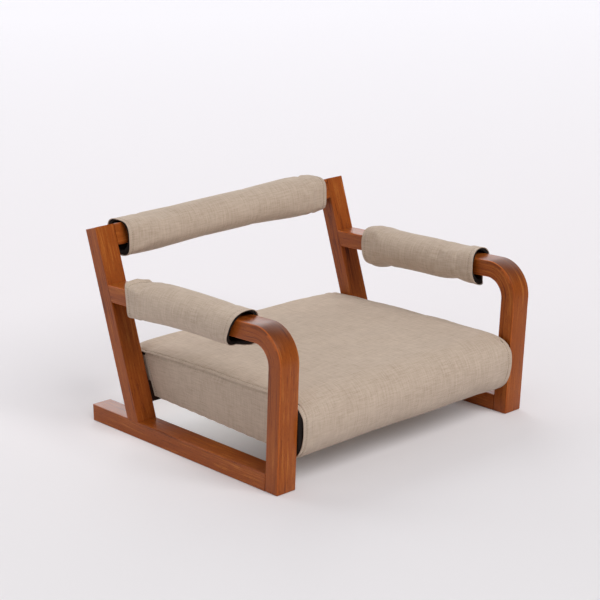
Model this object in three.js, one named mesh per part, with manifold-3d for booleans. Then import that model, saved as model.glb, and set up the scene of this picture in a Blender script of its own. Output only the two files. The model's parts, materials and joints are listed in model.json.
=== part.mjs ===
// A legless floor armchair in bent and straight timber, with a thick wrapped seat
// and a loose padded sleeve on its top rail and on each arm.
//
// Sizes are in millimetres and angles in degrees. X runs across the chair, the sitter
// faces -Y, and Z is up. The side frame is drawn as it is seen from the side, with the
// chair's Y along the drawing and its Z up the drawing.
import * as THREE from "three";
import { mergeVertices } from "three/addons/utils/BufferGeometryUtils.js";
import Module from "manifold-3d";

const wasm = await Module();
wasm.setup();

// The side frames
const overallWidth = 600;
const stockWidth = 41;
const stockThickness = 31;
const runnerLength = 509;
const frontPostLean = 4;
const armHeight = 285;
const armFall = 1.8;
const bendOuterRadius = 60;
const bendInnerRadius = 33;
const rearPostLean = 16.8;
const rearPostSetback = 105;
const rearPostLength = 345;
const easedEdge = 1.5;

// The cross rails
const topRailHeight = 39;
const railEdgeRadius = 3;
const frontRailDepth = 22;
const frontRailHeight = 36;
const frontRailClearance = 68;
const frontRailSetback = 7;
const rearRailDepth = 28;
const rearRailHeight = 38;
const rearRailClearance = 50;

// The board under the seat, its cleats and its screws
const boardHeight = 81;
const boardThickness = 12;
const boardEndGap = 11;
const cleatSize = 12;
const cleatEndGap = 24;
const screwInset = 55;
const screwLength = 22;
const screwShankRadius = 2;
const screwHeadRadius = 4;
const screwHeadHeight = 2.5;
const screwHoleClearance = 0.2;

// The dowels of the glued joints
const dowelRadius = 4;
const dowelLength = 40;
const dowelChamfer = 1;
const dowelSpacing = 18;
const dowelClearance = 0.15;
const dowelEndGap = 1;

// The seat's outline from the side
const noseReach = 18.3;
const noseDepth = 80;
const noseUnderside = 45.5;
const seatTopHeight = 150;
const seatRearRadius = 14;
const rearOverhang = 14;
const rearDrawIn = 7;
const rearCornerFall = 5;
const seatEdgeRise = 5;
const seatCrown = 3;
const rearFlapClearance = 54;

// The seat's layers
const wrapSideGap = 4.5;
const wrapThickness = 2;
const coverThickness = 1.2;
const coverSideGap = 5.5;
const coverFrontEdgeHeight = 62.5;
const coverRearEdgeHeight = 73.5;
const coverDrawIn = 2.5;
const paddingRecess = 3;
const softGap = 0.6;

// The sleeves
const backSleeveLeftGap = 15;
const backSleeveRightGap = 23;
const backSleeveInnerRadius = 27.3;
const backSleeveOuterRadius = 37.3;
const armSleeveInnerRadius = 27;
const armSleeveOuterRadius = 33.8;
const armSleeveFreeLength = 116;
const leftSleeveFrontGap = 57;
const rightSleeveFrontGap = 43;
const sleeveCoverThickness = 1.5;
const sleevePaddingRecess = 1.5;

// Clearances and allowances
const glueGap = 0.2;
const layerGap = 0.4;
const barClearance = 0.3;
const trimAllowance = 20;
const cutReach = 400;

// How late the seat's top turns down at its rear and at its side edges
const rearPower = 4;
const edgePower = 30;
const rearKeepShare = 0.3;

// Counts of facets
const bendSteps = 14;
const cornerSteps = 3;
const noseSteps = 24;
const rearSteps = 5;
const dowelSides = 10;
const sleeveSides = 32;

// The nose from under the seat to its top, as shares of its depth and of the seat's thickness
const noseShares = [
  [1, 0.168],
  [0.76, 0.043],
  [0.585, 0],
  [0.41, 0.024],
  [0.285, 0.081],
  [0.147, 0.191],
  [0.05, 0.359],
  [0.006, 0.524],
  [0, 0.639],
  [0.011, 0.743],
  [0.08, 0.8375],
  [0.1975, 0.918],
  [0.36, 0.966],
  [0.57, 0.992],
  [1, 1],
];

// Shares of a length at which the seat's top and width have a row of points
const topRowShares = [0, 0.06, 0.15, 0.28, 0.43, 0.57, 0.72, 0.85, 0.94, 1];
const widthRowShares = [-1, -0.985, -0.94, -0.82, -0.62, -0.36, 0, 0.36, 0.62, 0.82, 0.94, 0.985, 1];

const cherry = { color: 0x84482a, roughness: 0.38, metalness: 0 };
const paleWood = { color: 0xc9a36f, roughness: 0.7, metalness: 0 };
const linen = { color: 0xb8a796, roughness: 0.95, metalness: 0 };
const blackFoam = { color: 0x14100e, roughness: 0.9, metalness: 0 };
const foam = { color: 0xd9cf9a, roughness: 1, metalness: 0 };
const steel = { color: 0xb4b6b8, roughness: 0.35, metalness: 1 };

const upwards = new THREE.Vector2(0, 1);
const downwards = new THREE.Vector2(0, -1);
const forwards = new THREE.Vector2(-1, 0);
const backwards = new THREE.Vector2(1, 0);
const across = new THREE.Vector3(1, 0, 0);

// Lines and outlines in the side view

function lineThrough(point, direction) {
  return { point, direction: direction.clone().normalize() };
}

function level(height) {
  return lineThrough(new THREE.Vector2(0, height), backwards);
}

function upright(y) {
  return lineThrough(new THREE.Vector2(y, 0), upwards);
}

// The unit vector square to a line, on the side that the second vector points to.
function normalOf(line, towards) {
  const normal = new THREE.Vector2(-line.direction.y, line.direction.x);
  return normal.multiplyScalar(Math.sign(normal.dot(towards)));
}

function shifted(line, towards, distance) {
  const point = line.point.clone().addScaledVector(normalOf(line, towards), distance);
  return { point, direction: line.direction };
}

function meet(first, second) {
  const between = second.point.clone().sub(first.point);
  const along = between.cross(second.direction) / first.direction.cross(second.direction);
  return first.point.clone().addScaledVector(first.direction, along);
}

function towardsTop(line, distance) {
  return line.point.clone().addScaledVector(line.direction, distance);
}

// The points of the arc that rounds a corner, from the stretch before it to the one after.
function roundedCorner(before, corner, after, radius, steps) {
  const toBefore = before.clone().sub(corner).normalize();
  const toAfter = after.clone().sub(corner).normalize();
  const halfAngle = Math.acos(toBefore.dot(toAfter)) / 2;
  const middle = toBefore.clone().add(toAfter).normalize();
  const centre = corner.clone().addScaledVector(middle, radius / Math.sin(halfAngle));
  const start = corner.clone().addScaledVector(toBefore, radius / Math.tan(halfAngle));
  const spoke = start.clone().sub(centre);
  const sweep = Math.sign(toAfter.cross(toBefore)) * (Math.PI - 2 * halfAngle);
  const points = [];
  for (let step = 0; step <= steps; step++) {
    const turned = spoke.clone().rotateAround(new THREE.Vector2(), (sweep * step) / steps);
    points.push(turned.add(centre));
  }
  return points;
}

// A bar's section: a rectangle with rounded corners, turned by its lean.
function barSection(centre, lean, depth, height, radius) {
  const corners = [
    new THREE.Vector2(-depth / 2, -height / 2),
    new THREE.Vector2(depth / 2, -height / 2),
    new THREE.Vector2(depth / 2, height / 2),
    new THREE.Vector2(-depth / 2, height / 2),
  ];
  const count = corners.length;
  const points = corners.flatMap((corner, index) => {
    const before = corners[(index + count - 1) % count];
    const after = corners[(index + 1) % count];
    return roundedCorner(before, corner, after, radius, cornerSteps);
  });
  return points.map((point) => point.rotateAround(new THREE.Vector2(), -lean).add(centre));
}

// Geometry from outlines

// Turns a drawing's own axes into the chair's: along is Y, up is Z and depth is X.
const fromSideView = new THREE.Matrix4().makeBasis(
  new THREE.Vector3(0, 1, 0),
  new THREE.Vector3(0, 0, 1),
  new THREE.Vector3(1, 0, 0),
);

function extrudedAcross(points, fromX, toX, ease = 0) {
  const geometry = new THREE.ExtrudeGeometry(new THREE.Shape(points), {
    depth: toX - fromX - 2 * ease,
    bevelEnabled: ease > 0,
    bevelThickness: ease,
    bevelSize: ease,
    bevelOffset: -ease,
    bevelSegments: 2,
  });
  geometry.translate(0, 0, fromX + ease);
  return geometry.applyMatrix4(fromSideView);
}

// Joins the sections at a row of X places. Each section runs anticlockwise in the side view.
function loftedAcross(places, sectionAt) {
  const sections = places.map(sectionAt);
  const size = sections[0].length;
  const positions = sections.flatMap((section, index) =>
    section.flatMap((point) => [places[index], point.x, point.y]),
  );
  const indices = [];
  for (let row = 0; row + 1 < sections.length; row++) {
    for (let point = 0; point < size; point++) {
      const next = (point + 1) % size;
      const near = row * size;
      const far = near + size;
      indices.push(near + point, near + next, far + next, near + point, far + next, far + point);
    }
  }
  const lastRow = (sections.length - 1) * size;
  for (const [a, b, c] of THREE.ShapeUtils.triangulateShape(sections[0], [])) {
    indices.push(a, c, b);
  }
  for (const [a, b, c] of THREE.ShapeUtils.triangulateShape(sections.at(-1), [])) {
    indices.push(lastRow + a, lastRow + b, lastRow + c);
  }
  const geometry = new THREE.BufferGeometry();
  geometry.setAttribute("position", new THREE.Float32BufferAttribute(positions, 3));
  geometry.setIndex(indices);
  return geometry;
}

function toSolid(geometry) {
  const bare = geometry.clone();
  bare.deleteAttribute("normal");
  bare.deleteAttribute("uv");
  const merged = mergeVertices(bare);
  return new wasm.Manifold(
    new wasm.Mesh({
      numProp: 3,
      vertProperties: merged.attributes.position.array,
      triVerts: new Uint32Array(merged.index.array),
    }),
  );
}

function toGeometry(solid) {
  const { vertProperties, triVerts } = solid.getMesh();
  const geometry = new THREE.BufferGeometry();
  geometry.setAttribute("position", new THREE.BufferAttribute(vertProperties, 3));
  geometry.setIndex(new THREE.BufferAttribute(triVerts, 1));
  return geometry;
}

function cut(geometry, cutters) {
  const solid = cutters.reduce((rest, cutter) => rest.subtract(toSolid(cutter)), toSolid(geometry));
  return toGeometry(solid);
}

// A block that takes away all that lies on one side of a line of the side view.
function blockBeyond(line, towards) {
  const far = shifted(line, towards, cutReach);
  const points = [
    towardsTop(line, -cutReach),
    towardsTop(line, cutReach),
    towardsTop(far, cutReach),
    towardsTop(far, -cutReach),
  ];
  return extrudedAcross(points, -cutReach, cutReach);
}

function piece(name, geometry, finish) {
  const shown = geometry.index ? geometry.toNonIndexed() : geometry;
  shown.computeVertexNormals();
  const mesh = new THREE.Mesh(shown, new THREE.MeshStandardMaterial(finish));
  mesh.name = name;
  return mesh;
}

// Dowels and screws

function turnedProfile(profile, sides) {
  const points = profile.map(([radius, height]) => new THREE.Vector2(radius, height));
  return new THREE.LatheGeometry(points, sides);
}

const dowelGeometry = turnedProfile(
  [
    [0, -dowelLength / 2],
    [dowelRadius - dowelChamfer, -dowelLength / 2],
    [dowelRadius, -dowelLength / 2 + dowelChamfer],
    [dowelRadius, dowelLength / 2 - dowelChamfer],
    [dowelRadius - dowelChamfer, dowelLength / 2],
    [0, dowelLength / 2],
  ],
  dowelSides,
);

const dowelHoleGeometry = new THREE.CylinderGeometry(
  dowelRadius + dowelClearance,
  dowelRadius + dowelClearance,
  dowelLength + 2 * dowelEndGap,
  dowelSides,
);

// Puts a turned shape's own axis along a direction, with its middle at a place.
function placing(middle, direction) {
  const turn = new THREE.Quaternion().setFromUnitVectors(new THREE.Vector3(0, 1, 0), direction);
  return new THREE.Matrix4().compose(middle, turn, new THREE.Vector3(1, 1, 1));
}

function dowel(name, joint) {
  const mesh = piece(name, dowelGeometry.clone(), paleWood);
  mesh.applyMatrix4(placing(joint.middle, joint.direction));
  return mesh;
}

function dowelHole(joint) {
  return dowelHoleGeometry.clone().applyMatrix4(placing(joint.middle, joint.direction));
}

// The side frame's lines

const runnerTop = level(stockThickness);
const floor = level(0);
const runnerFront = -runnerLength / 2;
const runnerRear = runnerLength / 2;
const frontLean = THREE.MathUtils.degToRad(frontPostLean);
const rearLean = THREE.MathUtils.degToRad(rearPostLean);
const fall = THREE.MathUtils.degToRad(armFall);

const frontPostFront = lineThrough(
  new THREE.Vector2(runnerFront, 0),
  new THREE.Vector2(-Math.sin(frontLean), Math.cos(frontLean)),
);
const frontPostRear = shifted(frontPostFront, backwards, stockThickness);
const armTop = lineThrough(
  meet(frontPostFront, level(armHeight)),
  new THREE.Vector2(Math.cos(fall), -Math.sin(fall)),
);
const armUnder = shifted(armTop, downwards, stockThickness);
const rearPostRear = lineThrough(
  new THREE.Vector2(runnerRear - rearPostSetback, stockThickness),
  new THREE.Vector2(Math.sin(rearLean), Math.cos(rearLean)),
);
const rearPostFront = shifted(rearPostRear, forwards, stockThickness);
const rearPostMiddle = shifted(rearPostRear, forwards, stockThickness / 2);
const rearPostTop = lineThrough(
  towardsTop(rearPostRear, rearPostLength),
  new THREE.Vector2(Math.cos(rearLean), -Math.sin(rearLean)),
);

const insideHalfWidth = overallWidth / 2 - stockWidth;

// The cross rails' places

const topRailCentre = meet(rearPostMiddle, shifted(rearPostTop, downwards, topRailHeight / 2));
const frontRailLine = shifted(frontPostFront, backwards, frontRailSetback + frontRailDepth / 2);
const frontRailCentre = meet(frontRailLine, level(frontRailClearance + frontRailHeight / 2));
const rearRailDrop = (Math.cos(rearLean) * rearRailHeight + Math.sin(rearLean) * rearRailDepth) / 2;
const rearRailCentre = meet(rearPostMiddle, level(rearRailClearance + rearRailDrop));

const topRail = {
  name: "top_rail",
  centre: topRailCentre,
  lean: rearLean,
  depth: stockThickness,
  height: topRailHeight,
};
const frontRail = {
  name: "seat_front_rail",
  centre: frontRailCentre,
  lean: 0,
  depth: frontRailDepth,
  height: frontRailHeight,
};
const rearRail = {
  name: "seat_rear_rail",
  centre: rearRailCentre,
  lean: rearLean,
  depth: rearRailDepth,
  height: rearRailHeight,
};
const crossRails = [topRail, frontRail, rearRail];

// The two dowels at one end of a cross rail. Side is -1 on the left and 1 on the right.
function crossRailJoints(rail, side) {
  const up = new THREE.Vector2(Math.sin(rail.lean), Math.cos(rail.lean));
  return [-dowelSpacing / 2, dowelSpacing / 2].map((offset) => {
    const place = rail.centre.clone().addScaledVector(up, offset);
    return { middle: new THREE.Vector3(side * insideHalfWidth, place.x, place.y), direction: across };
  });
}

// The two dowels, side by side across the width, of a joint inside one side frame.
function sideFrameJoints(middle, direction) {
  return [-dowelSpacing / 2, dowelSpacing / 2].map((x) => ({
    middle: new THREE.Vector3(x, middle.x, middle.y),
    direction: new THREE.Vector3(0, direction.x, direction.y),
  }));
}

function middleOf(first, second) {
  return first.clone().add(second).multiplyScalar(1 / 2);
}

const runnerJoints = sideFrameJoints(
  meet(frontPostRear, level(stockThickness / 2)),
  normalOf(frontPostRear, backwards),
);
const rearPostJoints = sideFrameJoints(
  middleOf(meet(rearPostFront, runnerTop), meet(rearPostRear, runnerTop)),
  upwards,
);
const armJoints = sideFrameJoints(
  middleOf(meet(rearPostFront, armTop), meet(rearPostFront, armUnder)),
  normalOf(rearPostFront, backwards),
);

// The side frame's members. Each is drawn past its joints and then trimmed to them.

function runner() {
  const points = [
    new THREE.Vector2(runnerFront, 0),
    new THREE.Vector2(runnerRear, 0),
    new THREE.Vector2(runnerRear, stockThickness),
    new THREE.Vector2(runnerFront, stockThickness),
  ];
  const bar = extrudedAcross(points, -stockWidth / 2, stockWidth / 2, easedEdge);
  const front = blockBeyond(shifted(frontPostRear, backwards, glueGap), forwards);
  return cut(bar, [front, ...[...runnerJoints, ...rearPostJoints].map(dowelHole)]);
}

function rearPost(side) {
  const foot = level(stockThickness - trimAllowance);
  const points = [
    meet(rearPostFront, foot),
    meet(rearPostRear, foot),
    meet(rearPostRear, rearPostTop),
    meet(rearPostFront, rearPostTop),
  ];
  const bar = extrudedAcross(points, -stockWidth / 2, stockWidth / 2, easedEdge);
  const below = blockBeyond(shifted(runnerTop, upwards, glueGap), downwards);
  const holes = [...rearPostJoints, ...armJoints, ...innerFaceJoints(side)];
  return cut(bar, [below, ...holes.map(dowelHole)]);
}

function armBow(side) {
  const overlong = shifted(rearPostFront, backwards, trimAllowance);
  const footFront = meet(frontPostFront, floor);
  const footRear = meet(frontPostRear, floor);
  const endTop = meet(armTop, overlong);
  const endUnder = meet(armUnder, overlong);
  const outerCorner = meet(frontPostFront, armTop);
  const innerCorner = meet(frontPostRear, armUnder);
  const points = [
    footRear,
    ...roundedCorner(footRear, innerCorner, endUnder, bendInnerRadius, bendSteps),
    endUnder,
    endTop,
    ...roundedCorner(endTop, outerCorner, footFront, bendOuterRadius, bendSteps),
    footFront,
  ];
  const bar = extrudedAcross(points, -stockWidth / 2, stockWidth / 2, easedEdge);
  const behind = blockBeyond(shifted(rearPostFront, forwards, glueGap), backwards);
  const holes = [...runnerJoints, ...armJoints, ...innerFaceJoints(side)];
  return cut(bar, [behind, ...holes.map(dowelHole)]);
}

// The cross rails' dowels, in the frame of the side that they enter.
function innerFaceJoints(side) {
  const sideFrameX = side * (overallWidth / 2 - stockWidth / 2);
  return crossRails.flatMap((rail) =>
    crossRailJoints(rail, side).map((joint) => ({
      middle: joint.middle.clone().setX(joint.middle.x - sideFrameX),
      direction: joint.direction,
    })),
  );
}

function sideFrame(side, word) {
  const frame = new THREE.Group();
  frame.position.x = side * (overallWidth / 2 - stockWidth / 2);
  frame.add(piece(`runner_${word}`, runner(), cherry));
  frame.add(piece(`rear_post_${word}`, rearPost(side), cherry));
  frame.add(piece(`arm_bow_${word}`, armBow(side), cherry));
  const joints = { runner: runnerJoints, rear_post: rearPostJoints, arm: armJoints };
  for (const [member, places] of Object.entries(joints)) {
    places.forEach((joint, index) => frame.add(dowel(`${member}_dowel_${word}_${index + 1}`, joint)));
  }
  return frame;
}

function crossRail(rail) {
  const section = barSection(rail.centre, rail.lean, rail.depth, rail.height, railEdgeRadius);
  const reach = insideHalfWidth - glueGap;
  const holes = [-1, 1].flatMap((side) => crossRailJoints(rail, side).map(dowelHole));
  return cut(extrudedAcross(section, -reach, reach), holes);
}

// The seat board and what carries it

const frontRailRear = upright(frontRailCentre.x + frontRailDepth / 2);
const rearRailFront = shifted(rearPostMiddle, forwards, rearRailDepth / 2);
const rearRailBack = shifted(rearPostMiddle, backwards, rearRailDepth / 2);
const boardUnder = level(boardHeight);
const boardTop = level(boardHeight + boardThickness);
const boardFrontEnd = shifted(frontRailRear, backwards, glueGap);
const boardRearEnd = shifted(rearRailFront, forwards, glueGap);
const cleatTop = level(boardHeight - glueGap);
const cleatUnder = level(boardHeight - cleatSize);

function seatBoard() {
  const points = [
    meet(boardFrontEnd, boardUnder),
    meet(boardRearEnd, boardUnder),
    meet(boardRearEnd, boardTop),
    meet(boardFrontEnd, boardTop),
  ];
  const reach = insideHalfWidth - boardEndGap;
  return cut(extrudedAcross(points, -reach, reach), screwPlaces.map(screwHole));
}

// A batten along a rail's inner face, with its back cut to that face.
function cleat(face, inwards) {
  const back = shifted(face, inwards, glueGap);
  const front = shifted(face, inwards, cleatSize);
  const points = [
    meet(back, cleatUnder),
    meet(front, cleatUnder),
    meet(front, cleatTop),
    meet(back, cleatTop),
  ];
  const reach = insideHalfWidth - cleatEndGap;
  return cut(extrudedAcross(points, -reach, reach), screwPlaces.map(screwHole));
}

const screwRows = [
  meet(shifted(frontRailRear, backwards, cleatSize / 2), boardUnder).x,
  meet(shifted(rearRailFront, forwards, cleatSize / 2), boardUnder).x,
];
const screwPlaces = screwRows.flatMap((y) =>
  [-1, 1].map((side) => {
    const x = side * (insideHalfWidth - screwInset);
    return new THREE.Vector3(x, y, boardHeight + boardThickness);
  }),
);

// A countersunk screw, or the hole round it, with its head up and its top at the origin.
function screwShape(clearance) {
  const shank = screwShankRadius + clearance;
  const head = screwHeadRadius + clearance;
  const profile = [
    [0, -screwLength - clearance],
    [shank, -screwLength - clearance],
    [shank, -screwHeadHeight],
    [head, 0],
    [0, 0],
  ];
  return turnedProfile(profile, dowelSides).rotateX(Math.PI / 2);
}

function screwHole(place) {
  return screwShape(screwHoleClearance).translate(place.x, place.y, place.z);
}

function boardScrew(index) {
  const mesh = piece(`seat_board_screw_${index + 1}`, screwShape(0), steel);
  mesh.position.copy(screwPlaces[index]);
  mesh.position.z -= screwHoleClearance;
  return mesh;
}

// The seat's outer surface

const wrapHalfWidth = insideHalfWidth - wrapSideGap;
const noseFront = runnerFront - noseReach;
const noseRear = noseFront + noseDepth;
const seatTop = level(seatTopHeight);
const cushionRear = shifted(rearPostFront, forwards, softGap);
const seatTopEnd = meet(rearPostFront, seatTop).x;
const noseCurve = new THREE.SplineCurve(
  noseShares.map(([back, up]) => {
    const height = THREE.MathUtils.lerp(noseUnderside, seatTopHeight, up);
    return new THREE.Vector2(noseFront + back * noseDepth, height);
  }),
);

function share(value, from, to) {
  return THREE.MathUtils.clamp((value - from) / (to - from), 0, 1);
}

// The top's height above its stated level: rounded over along both side edges, crowned over
// the width, and falling towards the rear, most of all at the rear corners.
function topRise(x, y) {
  const rearwards = share(y, noseFront, seatTopEnd) ** rearPower;
  const out = Math.min(Math.abs(x) / wrapHalfWidth, 1);
  const rise = seatEdgeRise * (1 - out ** edgePower) + seatCrown * (1 - out ** 2);
  const cornerFall = rearCornerFall * out ** 2;
  return rise * THREE.MathUtils.lerp(1, rearKeepShare, rearwards) - cornerFall * rearwards;
}

// The outer surface's path at an X place, set in by a thickness: from the underside of the
// board, forwards under the nose, up its front, over the top and down the back.
function exactPath(x, inset) {
  return [flapEnd(inset), ...noseRow(x, inset), ...topRow(x, inset), ...rearRow(x, inset)];
}

function flapEnd(inset) {
  const under = lineThrough(noseCurve.getPoint(0), noseCurve.getTangent(0));
  return meet(shifted(under, upwards, inset), shifted(boardUnder, downwards, layerGap));
}

function noseRow(x, inset) {
  const points = [];
  for (let step = 0; step <= noseSteps; step++) {
    const along = step / noseSteps;
    const tangent = noseCurve.getTangentAt(along);
    const point = noseCurve.getPointAt(along);
    point.add(new THREE.Vector2(tangent.y, -tangent.x).multiplyScalar(inset));
    point.y += topRise(x, point.x) * share(point.y, noseUnderside, seatTopHeight) ** 2;
    points.push(point);
  }
  return points;
}

function topRow(x, inset) {
  return topRowShares.map((along) => {
    const y = THREE.MathUtils.lerp(noseRear, seatTopEnd, along);
    return new THREE.Vector2(y, seatTopHeight - inset + topRise(x, y));
  });
}

// The rear follows the posts' lean, and its upper edge is pulled in at the middle.
function rearRow(x, inset) {
  const middle = Math.cos(((Math.PI / 2) * Math.abs(x)) / insideHalfWidth);
  const rear = shifted(rearPostRear, backwards, rearOverhang - rearDrawIn * middle ** 2 - inset);
  const top = level(seatTopHeight - inset + topRise(x, seatTopEnd));
  const corner = meet(rear, top);
  const foot = meet(rear, level(rearFlapClearance));
  const before = new THREE.Vector2(seatTopEnd, corner.y);
  return [...roundedCorner(before, corner, foot, seatRearRadius - inset, rearSteps), foot];
}

// Every layer of the seat has its rows at the same X places, besides one at its own two
// ends, where it lies on a straight line between the two nearest rows.
const widthRows = widthRowShares.map((out) => out * wrapHalfWidth);

function rowPlaces(halfWidth) {
  const within = widthRows.filter((x) => Math.abs(x) < halfWidth - layerGap);
  return [-halfWidth, ...within, halfWidth];
}

const paddingInset = wrapThickness + softGap;
const coverHalfWidth = insideHalfWidth - coverSideGap;
const openHalfWidth = coverHalfWidth - coverThickness - coverDrawIn;
const cushionFront = shifted(frontRailRear, backwards, softGap);

function seatPath(x, inset) {
  const after = Math.max(widthRows.findIndex((row) => row >= x), 1);
  const [low, high] = [widthRows[after - 1], widthRows[after]];
  const far = exactPath(high, inset);
  return exactPath(low, inset).map((point, index) => point.lerp(far[index], share(x, low, high)));
}

// The path's stretch over the top, between two places in Y.
function topStretch(x, inset, from, to) {
  const row = seatPath(x, inset).slice(noseSteps / 2);
  const crossing = (y) => {
    const after = row.findIndex((point) => point.x > y);
    const [low, high] = [row[after - 1], row[after]];
    return low.clone().lerp(high, share(y, low.x, high.x));
  };
  return [crossing(from), ...row.filter((point) => point.x > from && point.x < to), crossing(to)];
}

function seatWrap() {
  const band = loftedAcross(widthRows, (x) => {
    const inner = seatPath(x, wrapThickness);
    return [...seatPath(x, 0).reverse(), ...inner];
  });
  return cut(band, [flapNotch(-1), flapNotch(1)]);
}

// The flap under the seat is narrower, to pass between the cover's hanging sides.
function flapNotch(side) {
  const notchUnder = level(coverFrontEdgeHeight - layerGap);
  const notchRear = upright(0);
  const points = [
    meet(cushionFront, notchUnder),
    meet(notchRear, notchUnder),
    meet(notchRear, boardUnder),
    meet(cushionFront, boardUnder),
  ];
  const reach = (cutReach - openHalfWidth + layerGap) / 2;
  const notch = extrudedAcross(points, -reach, reach);
  return notch.translate(side * (openHalfWidth - layerGap + reach), 0, 0);
}

// The padding round the front rail and the padding over and behind the rear rail

function nosePadding() {
  const halfWidth = wrapHalfWidth - paddingRecess;
  const rear = frontRailRear.point.x;
  const roll = loftedAcross(rowPlaces(halfWidth), (x) => {
    const path = seatPath(x, paddingInset);
    const under = path.slice(0, noseSteps / 2);
    const start = path[noseSteps / 2].x + softGap;
    const over = topStretch(x, paddingInset, start, rear);
    const inner = new THREE.Vector2(rear, path[0].y);
    return [inner, ...over.reverse(), ...under.reverse()];
  });
  const pockets = [railPocket(frontRail), cleatPocket(frontRailRear, backwards)];
  return cut(roll, [...pockets, flapNotch(-1), flapNotch(1)]);
}

function railPocket(rail) {
  const depth = rail.depth + 2 * softGap;
  const height = rail.height + 2 * softGap;
  const section = barSection(rail.centre, rail.lean, depth, height, railEdgeRadius + softGap);
  return extrudedAcross(section, -insideHalfWidth, insideHalfWidth);
}

function cleatPocket(face, inwards) {
  const front = shifted(face, inwards, cleatSize + softGap);
  const under = shifted(cleatUnder, downwards, softGap);
  const points = [meet(face, under), meet(front, under), meet(front, boardTop), meet(face, boardTop)];
  return extrudedAcross(points, -insideHalfWidth, insideHalfWidth);
}

function rearPadding() {
  const railTop = lineThrough(rearRailCentre, normalOf(rearPostRear, backwards));
  const overRail = shifted(railTop, upwards, rearRailHeight / 2 + softGap);
  const behindRail = shifted(rearRailBack, backwards, softGap);
  const foot = level(rearFlapClearance);
  return loftedAcross(rowPlaces(wrapHalfWidth - paddingRecess), (x) => {
    const path = seatPath(x, paddingInset);
    const outside = path.slice(-(rearSteps + 2));
    const topFront = meet(rearPostFront, level(outside[0].y));
    const inside = [topFront, meet(rearPostFront, overRail), meet(behindRail, overRail)];
    return [meet(behindRail, foot), ...outside.reverse(), ...inside];
  });
}

// The boxed cushion between the nose and the rear posts: its foam, and the cover that
// goes over the foam and hangs down past the ends of the board

// The cushion's upper edge at an X place, set in from the cover's outside.
function cushionTop(x, inset) {
  const depth = paddingInset + inset;
  const from = cushionFront.point.x + inset;
  const rear = shifted(cushionRear, forwards, inset);
  const before = meet(rear, shifted(seatTop, downwards, depth)).x;
  const stretch = topStretch(x, depth, from, before);
  return [...stretch.slice(0, -1), meet(rear, level(stretch.at(-1).y))];
}

// Draws the sides in towards the bottom, where the cover is pulled under the board.
function drawnIn(geometry) {
  const position = geometry.getAttribute("position");
  for (let index = 0; index < position.count; index++) {
    const down = (seatTopHeight - position.getZ(index)) / (seatTopHeight - coverFrontEdgeHeight);
    const narrowed = 1 - (coverDrawIn * down) / coverHalfWidth;
    position.setX(index, position.getX(index) * narrowed);
  }
  return geometry;
}

function cushionCover() {
  const edge = lineThrough(
    new THREE.Vector2(cushionFront.point.x, coverFrontEdgeHeight),
    new THREE.Vector2(seatTopEnd - cushionFront.point.x, coverRearEdgeHeight - coverFrontEdgeHeight),
  );
  const outside = loftedAcross(rowPlaces(coverHalfWidth), (x) => [
    meet(cushionFront, edge),
    meet(cushionRear, edge),
    ...cushionTop(x, 0).reverse(),
  ]);
  const innerFront = shifted(cushionFront, backwards, coverThickness);
  const innerRear = shifted(cushionRear, forwards, coverThickness);
  const inside = loftedAcross(rowPlaces(coverHalfWidth - coverThickness), (x) => [
    meet(innerFront, floor),
    meet(innerRear, floor),
    ...cushionTop(x, coverThickness).reverse(),
  ]);
  const openUnder = blockBeyond(shifted(boardTop, upwards, softGap), downwards);
  openUnder.scale(openHalfWidth / cutReach, 1, 1);
  return cut(drawnIn(outside), [drawnIn(inside), openUnder]);
}

function cushionFoam() {
  const inset = coverThickness + softGap;
  const under = shifted(boardTop, upwards, softGap);
  const front = shifted(cushionFront, backwards, inset);
  const rear = shifted(cushionRear, forwards, inset);
  return drawnIn(
    loftedAcross(rowPlaces(coverHalfWidth - inset), (x) => [
      meet(front, under),
      meet(rear, under),
      ...cushionTop(x, inset).reverse(),
    ]),
  );
}

// The sleeves

// Keeps the flats of a many-sided hole at the stated radius.
const flatsToCorners = 1 / Math.cos(Math.PI / sleeveSides);

function sleeveRing(innerRadius, outerRadius, length) {
  const inner = innerRadius * flatsToCorners;
  const outer = outerRadius * flatsToCorners;
  return turnedProfile(
    [
      [inner, -length / 2],
      [outer, -length / 2],
      [outer, length / 2],
      [inner, length / 2],
      [inner, -length / 2],
    ],
    sleeveSides,
  );
}

// A sleeve's own Y axis runs along its bar.
function sleeve(word, innerRadius, outerRadius, length) {
  const coverInside = outerRadius - sleeveCoverThickness;
  const paddingLength = length - 2 * sleevePaddingRecess;
  const padding = sleeveRing(innerRadius, coverInside - layerGap, paddingLength);
  const group = new THREE.Group();
  group.add(piece(`${word}_sleeve_cover`, sleeveRing(coverInside, outerRadius, length), linen));
  group.add(piece(`${word}_sleeve_padding`, padding, blackFoam));
  return group;
}

// How far a round sleeve hangs below its bar's middle when it rests on an upper edge of the
// bar, which is rounded and leans back.
function sleeveSag(innerRadius, width, height, edgeRadius, lean) {
  const edge = new THREE.Vector2(edgeRadius - width / 2, height / 2 - edgeRadius);
  edge.rotateAround(new THREE.Vector2(), -lean);
  return Math.sqrt((innerRadius - barClearance - edgeRadius) ** 2 - edge.x ** 2) - edge.y;
}

function backSleeve() {
  const length = 2 * insideHalfWidth - backSleeveLeftGap - backSleeveRightGap;
  const group = sleeve("back", backSleeveInnerRadius, backSleeveOuterRadius, length);
  const sag = sleeveSag(backSleeveInnerRadius, stockThickness, topRailHeight, railEdgeRadius, rearLean);
  group.rotation.z = -Math.PI / 2;
  const aside = (backSleeveLeftGap - backSleeveRightGap) / 2;
  group.position.set(aside, topRailCentre.x, topRailCentre.y - sag);
  return group;
}

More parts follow.
